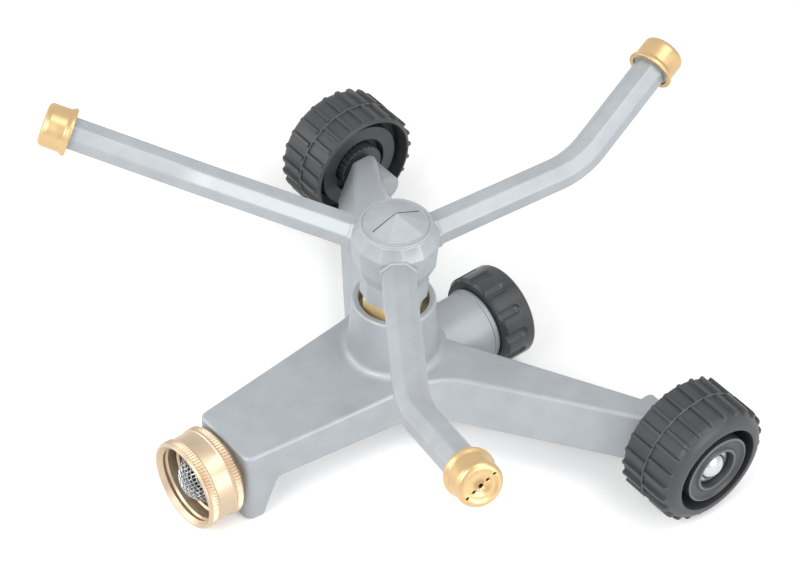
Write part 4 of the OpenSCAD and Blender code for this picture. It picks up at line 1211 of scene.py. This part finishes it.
@dataclass
class Coupling:
    """Brass hose coupling with two knurled bands and an internal thread.

    fade is the length over which a flute runs out, and fine is the longest straight left whole
    in the profile.
    """

    back_x: float = -6.15
    length: float = 14.8
    axis_z: float = PIPE_Z
    radius: float = 16.6
    waist: float = 0.45
    band: float = 3.8
    flutes: int = 90
    flute_depth: float = 0.5
    lip_r: float = 0.5
    chamfer: float = 1.5
    thread_r: float = 13.9
    back_wall: float = 2.7
    neck_r: float = 9.05
    pitch: float = HOSE_PITCH
    thread_depth: float = 0.7
    thread_start: float = 0.6
    thread_half: float = 0.8
    thread_end: float = 7.6
    floor_r: float = 12.8
    floor_end: float = 6.6
    lip_step: float = 0.25
    lip_len: float = 0.6
    slope_len: float = 0.4
    back_bevel: float = 1.0
    fade: float = 0.5
    fine: float = 0.6
    flute_points: int = 8
    flute_power: float = 0.8

    def profile(self) -> np.ndarray:
        """Closed profile from the mouth over the outside, the back, the floor and the thread."""
        r, w, n = self.radius, self.radius - self.waist, self.length
        lip = r - self.lip_step
        rows = [(self.thread_r + self.chamfer, 0.0, 0.3), (lip, 0.0, self.lip_r), (lip, self.lip_len, 0.1),
                (r, 0.8, 0.15), (r, self.band, 0.25), (w, self.band + self.slope_len, 0.3),
                (w, n - self.band - self.slope_len, 0.3), (r, n - self.band, 0.25), (r, n - 0.9, 0.5),
                (r - self.back_bevel, n, 0.5), (self.neck_r, n, 0.3), (self.neck_r, n - self.back_wall, 0.2),
                (self.floor_r, n - self.back_wall, 0.2), (self.floor_r, n - self.floor_end, 0.2),
                (self.thread_r, n - self.thread_end, 0.2)]
        x = self.chamfer + self.pitch * self.thread_start
        rows += [(self.thread_r, x + self.thread_half, 0.2), (self.thread_r + self.thread_depth, x, 0.25),
                 (self.thread_r, x - self.thread_half, 0.2)]
        rows += [(self.thread_r, self.chamfer, 0.15), (self.thread_r + self.chamfer, 0.0, 0)]
        return path(rows, 5)

    def surface(self) -> Surface:
        """Turned profile whose outside is cut by flutes on the two bands.

        The radius falls by the depth times a narrow valley, one for each flute round the axis,
        times one on the bands and zero elsewhere.
        """
        profile = refined(self.profile(), self.fine)
        a = ring_angles(self.flutes * self.flute_points)
        wave = 0.5 + 0.5 * np.cos(a * self.flutes)
        x, r = profile[:, 1], profile[:, 0]
        front = smooth(x, 0.7, 1.0) * (1 - smooth(x, self.band - self.fade, self.band))
        back = smooth(x, self.length - self.band, self.length - self.band + self.fade)
        back = back * (1 - smooth(x, self.length - self.back_bevel, self.length - self.fade))
        outside = smooth(r, self.radius - 1.2, self.radius - 0.6)
        depth = self.flute_depth * (front + back) * outside
        radius = r[:, None] - depth[:, None] * (wave[None] ** self.flute_power)
        return grid(turned(radius, a, x), closed=True)

    def dress(self, finishes: Finishes) -> None:
        """Builds the coupling as one piece that stands for its CAD node."""
        front = self.back_x - self.length
        placed = self.surface().laid(front, self.axis_z)
        finishes.settle("hose_coupling_skin", placed, Body.COUPLING.value, "coupling_brass", "hose_coupling")


@dataclass
class Filter:
    """Domed screen of woven wire with a flat rim.

    wire_sink is how far inside the dome the wires run, and weave_share the share of their
    radius by which they rise and fall.
    """

    rim_x: float = -14.0
    axis_z: float = PIPE_Z
    rim_r: float = 9.2
    rim_w: float = 1.0
    rim_t: float = 0.48
    height: float = 6.8
    pitch: float = 1.35
    wire_r: float = 0.22
    wire_gap: float = 0.6
    wire_points: int = 97
    wire_sink: float = 0.4
    weave_share: float = 0.8
    weave_angle: float = 42.0
    rim_in: float = 0.7

    def wires(self, first: float) -> Surface:
        """Wires of one direction laid over a dome.

        Wire i runs along u at v = i times the pitch. The dome's height is that of a ball cap,
        and the wire goes over and under its neighbours by a cosine of u over the pitch, turned
        round from one wire to the next.

        Args:
            first: 1 where the middle wire starts over its neighbour, -1 where it starts under.

        Returns:
            The wires as closed tubes, bulging along minus Z.
        """
        ball = (self.height ** 2 + self.rim_r ** 2) / (2 * self.height)
        count = int((self.rim_r - self.wire_gap) / self.pitch)
        number = np.arange(-count, count + 1)
        v = (number * self.pitch)[:, None]
        reach = np.sqrt(self.rim_r ** 2 - v ** 2)
        u = np.linspace(-1, 1, self.wire_points)[None] * reach
        v = np.broadcast_to(v, u.shape)
        sign = first * np.where(number % 2 == 0, 1.0, -1.0)[:, None]
        lift = self.wire_r * self.weave_share * sign * np.cos(math.pi * u / self.pitch)
        radius = ball - self.wire_sink + lift
        flat2 = u ** 2 + v ** 2
        rise = np.sqrt(ball ** 2 - flat2)
        centre = np.stack([u, v, -rise], -1) / ball * radius[..., None] + [0, 0, ball - self.height]
        tangent = np.gradient(centre, axis=1)
        tangent = tangent / np.linalg.norm(tangent, axis=-1, keepdims=True)
        out = np.stack([u, v, -rise], -1) / ball
        side = np.cross(tangent, out)
        side = side / np.linalg.norm(side, axis=-1, keepdims=True)
        out = np.cross(side, tangent)
        a = np.arange(6) * math.pi / 3
        around = np.cos(a)[:, None] * side[..., None, :] + np.sin(a)[:, None] * out[..., None, :]
        tubes = centre[..., None, :] + self.wire_r * around
        whole = grid(tubes[0], start=True, end=True)
        for tube in tubes[1:]:
            whole = whole + grid(tube, start=True, end=True)
        return whole

    def surface(self) -> Surface:
        """Two directions of wires and the rim."""
        one, other = self.wires(1.0), self.wires(-1.0)
        cross = Surface(other.points[:, [1, 0, 2]], other.faces, other.along)
        inner, outer = self.rim_r - self.rim_in, self.rim_r + self.rim_w
        rim = lathe(path([
            (inner, 0.05, 0.0), (inner, -0.15, 0.1), (self.rim_r + 0.1, -0.35, 0.2), (outer, 0.0, 0.15),
            (outer, self.rim_t, 0.15), (inner, self.rim_t, 0.1), (inner, 0.05, 0.0)]), ROUND_SMALL, True)
        return one + cross + rim

    def dress(self, finishes: Finishes) -> None:
        """Builds the screen as one piece that stands for its CAD node."""
        lying = turn(Axis.Y, 90) @ turn(Axis.Z, self.weave_angle)
        placed = self.surface().placed(lying, (self.rim_x, 0.0, self.axis_z))
        finishes.settle("filter_screen_skin", placed, Body.FILTER.value, "mesh_steel", "filter_screen")


@dataclass
class Wheel:
    """Moulded wheel with two staggered rows of ribs, grooved faces and a recessed hub.

    A half is the half width of a crest and a foot the distance from its middle at which it has
    run out, for the ribs, the parting ridge and the rims with painted highlights alike.
    """

    name: str
    side: int
    axle_x: float = 127.3
    axle_z: float = AXLE_Z
    inner_y: float = 86.6
    width: float = 24.4
    radius: float = 23.6
    rib_h: float = 1.3
    ridge_h: float = 0.9
    ribs: int = 24
    rib_half: float = 0.6
    rib_foot: float = 1.0
    row_gap: float = 0.8
    start: float = 0.0
    middle: float = 10.6
    shoulder: float = 4.6
    overrun: float = 2.0
    lip_r: float = 17.4
    groove_out_r: float = 16.9
    groove_depth: float = 13.0
    hub_r: float = 13.3
    recess_r: float = 7.6
    recess_depth: float = 3.5
    bore_r: float = 3.05
    inner_lip_r: float = 20.9
    web_r: float = 17.3
    inner_depth: float = 8.0
    web_depth: float = 3.0
    small_groove_r: float = 11.6
    small_depth: float = 7.0
    hub_in_r: float = 9.3
    hub_in: float = 1.4
    serrations: int = 24
    tooth_depth: float = 0.45
    tooth_reach: float = 0.3
    rib_points: int = 20
    bevel: float = 0.7
    ridge_reach: float = 1.6
    ridge_half: float = 0.1
    ridge_foot: float = 0.3
    highlight_half: float = 0.2
    highlight_foot: float = 0.5

    @property
    def base(self) -> float:
        """Radius of the tread between its ribs."""
        return self.radius - self.rib_h

    def tread(self) -> tuple[np.ndarray, np.ndarray]:
        """Radius and height of the tread and shoulder, from the inner face outwards."""
        low, high = self.middle - self.ridge_reach, self.middle + self.ridge_reach
        flat = np.unique(np.concatenate([
            np.linspace(0.9, 2.0, 6), np.linspace(2.0, low, 10), np.linspace(low, high, 25),
            np.linspace(high, self.width - self.shoulder, 10)]))
        t = np.linspace(0, 89.5, 28)[1:] * math.pi / 180
        bend = self.lip_r + (self.base - self.lip_r) * np.cos(t)
        r = np.concatenate([np.full(len(flat), self.base), bend])
        z = np.concatenate([flat, self.width - self.shoulder * (1 - np.sin(t))])
        return r, z

    def faces(self) -> np.ndarray:
        """Profile from the shoulder over the outer face, through the bore and back inside."""
        w = self.width
        return path([
            (self.lip_r, w, 0), (self.groove_out_r, w, 0.25),
            (self.groove_out_r - 0.3, w - self.groove_depth, 0.6),
            (self.hub_r + 0.2, w - self.groove_depth, 0.6), (self.hub_r, w - 0.25, 0.3),
            (self.hub_r - 0.7, w, 0.2), (self.hub_r - 1.6, w - 0.9, 0.6),
            (self.recess_r + 1.8, w - 1.1, 0.5), (self.recess_r + 0.9, w - 0.2, 0.3),
            (self.recess_r, w - 0.2, 0.35), (self.recess_r - 0.2, w - self.recess_depth, 0.3),
            (self.bore_r, w - self.recess_depth, 0.1), (self.bore_r, self.hub_in, 0.1),
            (self.hub_in_r, self.hub_in, 0.4), (self.hub_in_r + 0.1, self.small_depth, 0.2),
            (self.small_groove_r, self.small_depth, 0.3), (self.small_groove_r, self.web_depth, 0.4),
            (self.web_r, self.web_depth, 0.4), (self.web_r + 0.1, self.inner_depth, 0.4),
            (self.inner_lip_r - 0.1, self.inner_depth, 0.4), (self.inner_lip_r, 0.0, 0.25),
            (self.base - self.bevel, 0.0, 0.4), (self.base, self.bevel, 0)], 5)

    def surface(self) -> Surface:
        """Turned profile with ribs on the tread.

        A rib's height falls smoothly from its crest to its foot with the distance round the
        tread and at its two ends; the second row is turned by half a rib's pitch, a fine
        parting ridge runs between the rows, and shallow teeth cut the hub's inner end. The ridge
        and the hub's two rims are marked, because their sharp edges catch the light.
        """
        tread_r, tread_z = self.tread()
        face = self.faces()
        r = np.concatenate([tread_r, face[:, 0]])
        z = np.concatenate([tread_z, face[:, 1]])
        count, tread = self.ribs * self.rib_points, slice(len(tread_r))
        a = ring_angles(count)
        pitch = 2 * math.pi / self.ribs
        height = np.zeros((len(r), count))
        rows = [(self.start, self.middle - self.row_gap / 2, 0.0),
                (self.middle + self.row_gap / 2, self.width - self.shoulder + self.overrun, 0.5)]
        for low, high, phase in rows:
            away = np.abs((a / pitch - phase + 0.5) % 1.0 - 0.5) * pitch * self.radius
            across = 1 - smooth(away, self.rib_half, self.rib_foot)
            ends = smooth(tread_z, low - 0.1, low + 0.35) * (1 - smooth(tread_z, high - 0.1, high + 0.5))
            height[tread] += self.rib_h * ends[:, None] * across[None]
        ridge = 1 - smooth(np.abs(tread_z - self.middle), self.ridge_half, self.ridge_foot)
        height[tread] = np.maximum(height[tread], self.ridge_h * ridge[:, None])
        teeth = 0.5 + 0.5 * np.cos(a * self.serrations)
        hub = (np.abs(r - self.hub_in_r) < self.tooth_reach) & (z < self.small_depth)
        height[hub] -= self.tooth_depth * teeth[None]
        whole = grid(turned(r[:, None] + height, a, z), closed=True)
        # Painted highlight: the parting ridge and the hub's two rims are lightened where their sharp edges
        # catch the light
        edge = np.zeros_like(r)
        edge[tread] = ridge
        for place in (self.hub_r - 0.3, self.recess_r + 0.7):
            near = 1 - smooth(np.abs(r - place), self.highlight_half, self.highlight_foot)
            edge = np.maximum(edge, near * smooth(z, self.width - 0.7, self.width - 0.3))
        whole.mark = np.repeat(edge, count)
        return whole

    def dress(self, finishes: Finishes) -> None:
        """Builds the wheel as one piece that stands for its CAD node."""
        lying = turn(Axis.X, -self.side * 90)
        placed = self.surface().placed(lying, (self.axle_x, self.side * self.inner_y, self.axle_z))
        body = f"{self.name}_wheel"
        finishes.settle(f"wheel_{self.name}_skin", placed, body, "wheel_plastic", f"wheel_{self.name}")


@dataclass
class OutletCap:
    """Plastic cap on the outlet, with twelve flutes that end in round tips.

    The profile is refined to steps of fine within fine_w of the outside. clear keeps the floor
    of a flute off the wall between flutes, and inside middle_r the end stays flat.
    """

    near_x: float = 111.2
    axis_z: float = PIPE_Z
    length: float = 13.6
    radius: float = 17.8
    end_wall: float = 3.3
    bore_r: float = 13.35
    flutes: int = 12
    flute_r: float = 2.4
    flute_depth: float = 1.1
    flute_end: float = 6.0
    flute_edge: float = 0.16
    flute_points: int = 44
    round_r: float = 1.4
    bevel: float = 1.2
    fine: float = 0.25
    fine_w: float = 2.5
    clear: float = 1.0
    middle_r: float = 2.0

    def surface(self) -> Surface:
        """Turned cap whose outside is the smaller of its own radius and of the flutes'.

        A flute is a groove of round section that ends in a ball, so at a distance u round the
        cap and v past the flute's end its floor lies at the groove's centre radius minus the
        square root of its radius squared less u squared and v squared.
        """
        profile = path([
            (self.bore_r, 0.0, 0.2), (self.radius - self.bevel, 0.0, 0.3), (self.radius, self.bevel, 0.4),
            (self.radius, self.length, self.round_r), (0.0, self.length, 0)], 8)
        profile = refined(profile, self.fine, self.radius - self.fine_w)
        a = ring_angles(self.flutes * self.flute_points)
        x, r = profile[:, 1], profile[:, 0]
        pitch = 2 * math.pi / self.flutes
        u = np.abs((a / pitch) % 1.0 - 0.5) * pitch * self.radius
        v = np.maximum(x - (self.length - self.flute_end), 0.0)
        room = self.flute_r ** 2 - u[None] ** 2 - v[:, None] ** 2
        floor = self.radius + self.flute_r - self.flute_depth - np.sqrt(np.maximum(room, 0.0))
        floor = np.where(room > 0, floor, self.radius + self.clear)
        k = self.flute_edge
        blend = np.clip(0.5 + (floor - r[:, None]) / (2 * k), 0.0, 1.0)
        radius = floor * (1 - blend) + r[:, None] * blend
        radius = radius - k * blend * (1 - blend) * (r[:, None] > self.middle_r)
        wall = turned(radius, a, x)
        deep = self.length - self.end_wall
        inner = path([(self.bore_r, 0.0, 0), (self.bore_r, deep, 0.4), (0.0, deep, 0)])
        hollow = turned(np.broadcast_to(inner[:, :1], (len(inner), len(a))), a, inner[:, 1])
        return grid(np.concatenate([hollow[::-1], wall]))

    def dress(self, finishes: Finishes) -> None:
        """Builds the cap as one piece that stands for its CAD node."""
        placed = self.surface().laid(self.near_x, self.axis_z)
        finishes.settle("outlet_cap_skin", placed, Body.CAP.value, "cap_plastic", "outlet_cap")


@dataclass
class SmallParts:
    """Seals, washers and pins whose CAD shape is already right and only needs its finish."""

    slots: dict[str, str] = field(default_factory=lambda: {
        "inlet_nipple": "coupling_brass", "nut_gasket": "red_fibre", "spindle": "nut_brass",
        "bearing_rubber": "seal_rubber", "slip_washer": "white_nylon", "thrust_washer": "plain_steel",
        "head_seal": "seal_rubber", "cap_seal": "seal_rubber", "hose_washer": "seal_rubber",
        "outlet_washer": "seal_rubber", "axle_right": "plain_steel", "axle_left": "plain_steel",
        "axle_washer_right": "plain_steel", "axle_washer_left": "plain_steel",
        "nozzle_ring_front": "seal_rubber", "nozzle_ring_right": "seal_rubber",
        "nozzle_ring_left": "seal_rubber"})

    def dress(self, finishes: Finishes) -> None:
        """Gives each node its finish."""
        for name, slot in self.slots.items():
            finishes.dress(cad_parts[name], slot)
            log.info("%s: finished as %s", name, slot)


# Studio


@dataclass
class Studio:
    """Camera at the photograph's angle, soft lights, pale floor and white surroundings."""

    target: tuple[float, float, float] = (35.808, -45.657, 116.222)
    azimuth: float = -40.014
    elevation: float = 43.836
    roll: float = -1.758
    distance: float = 953.601
    lens: float = 132.988
    sensor: float = 36.0
    clip: tuple[float, float] = (0.05, 20.0)
    aim: tuple[float, float, float] = (0.07, 0.0, 0.04)
    lamps: tuple[tuple[str, tuple[float, float, float], float, float], ...] = (
        ("Key", (-0.75, -0.15, 0.75), 0.5, 5.5), ("Fill", (0.25, -1.0, 0.4), 0.6, 4.5),
        ("Side", (-0.7, 0.75, 0.4), 0.6, 3.0), ("Top", (0.3, -0.45, 1.0), 0.6, 3.2))
    glow: float = 0.5
    floor_size: float = 4.0
    floor_z: float = -0.02
    floor_grey: float = 0.86
    floor_lift: float = 0.3

    def camera(self) -> None:
        """Places the camera: it looks along its bearing from the given distance, rolled."""
        az, el, roll = (math.radians(v) for v in (self.azimuth, self.elevation, self.roll))
        forward = Vector((math.sin(-az) * math.cos(el), math.cos(az) * math.cos(el), -math.sin(el)))
        level = forward.cross(Vector((0, 0, 1))).normalized()
        upright = level.cross(forward)
        right = level * math.cos(roll) - upright * math.sin(roll)
        up = upright * math.cos(roll) + level * math.sin(roll)
        data = bpy.data.cameras.new("Camera")
        data.sensor_width, data.lens = self.sensor, self.lens
        data.clip_start, data.clip_end = self.clip
        data.dof.use_dof = False
        camera = bpy.data.objects.new("Camera", data)
        bpy.context.scene.collection.objects.link(camera)
        facing = Matrix((right, up, -forward)).transposed().to_4x4()
        stand = (Vector(self.target) - forward * self.distance) * MM
        camera.matrix_world = Matrix.Translation(stand) @ facing
        bpy.context.scene.camera = camera

    def lamp(self, name: str, place: tuple[float, float, float], size: float, power: float) -> None:
        """Adds one square soft light that faces the aim, with its place and side in metres and its
        power in watts."""
        data = bpy.data.lights.new(name, "AREA")
        data.size, data.energy = size, power
        lamp = bpy.data.objects.new(name, data)
        bpy.context.scene.collection.objects.link(lamp)
        lamp.location = place
        lamp.rotation_mode = "QUATERNION"
        lamp.rotation_quaternion = (Vector(self.aim) - Vector(place)).to_track_quat("-Z", "Y")

    def world(self) -> None:
        """White to the camera and in reflections, a softer grey as light on the object."""
        world = bpy.data.worlds.new("Surroundings")
        bpy.context.scene.world = world
        g = Graph(world)
        lit = g.node("ShaderNodeBackground", {}, {"Color": (1, 1, 1, 1), "Strength": self.glow}).signal()
        shown = g.node("ShaderNodeBackground", {}, {"Color": (1, 1, 1, 1), "Strength": 1.0}).signal()
        mixed = g.node("ShaderNodeMixShader", {}, {0: g.looked_at(), 1: lit, 2: shown}).signal()
        g.node("ShaderNodeOutputWorld", {}, {"Surface": mixed})

    def floor(self) -> None:
        """Pale floor that keeps the object's shadow and looks white round it."""
        s, z, grey = self.floor_size / 2 / MM, self.floor_z, self.floor_grey
        flat = Surface(np.array([[-s, -s, z], [s, -s, z], [s, s, z], [-s, s, z]]),
                       [np.array([[0, 1, 2, 3]])], np.zeros(4))
        piece = make("floor", flat)
        g = Graph(bpy.data.materials.new("Pale floor"))
        matt = g.node("ShaderNodeBsdfDiffuse", {}, {"Color": (grey, grey, grey, 1)}).signal()
        white = {"Color": (1, 1, 1, 1), "Strength": self.floor_lift}
        glow = g.node("ShaderNodeEmission", {}, white).signal()
        both = g.node("ShaderNodeAddShader", {}, {0: matt, 1: glow}).signal()
        mixed = g.node("ShaderNodeMixShader", {}, {0: g.looked_at(), 1: matt, 2: both}).signal()
        g.node("ShaderNodeOutputMaterial", {}, {"Surface": mixed})
        piece.data.materials.append(g.owner)

    def build(self) -> None:
        """Builds camera, lights, world and floor."""
        self.camera()
        for name, place, size, power in self.lamps:
            self.lamp(name, place, size, power)
        self.world()
        self.floor()
        bpy.context.scene.view_settings.view_transform = "Standard"


def main() -> None:
    """Builds every sub-assembly in order, then the studio."""
    logging.basicConfig(level=logging.INFO, format="%(message)s")
    finishes = Finishes()
    assemblies = [
        Casting(), BearingNut(), Head(), *(Arm(name, heading) for name, heading in ARM_HEADINGS.items()),
        Coupling(), Filter(), Wheel("right", -1), Wheel("left", 1), OutletCap(), SmallParts()]
    for assembly in assemblies:
        assembly.dress(finishes)
        log.info("%s is built", type(assembly).__name__)
    Studio().build()


if __name__ == "__main__":
    main()
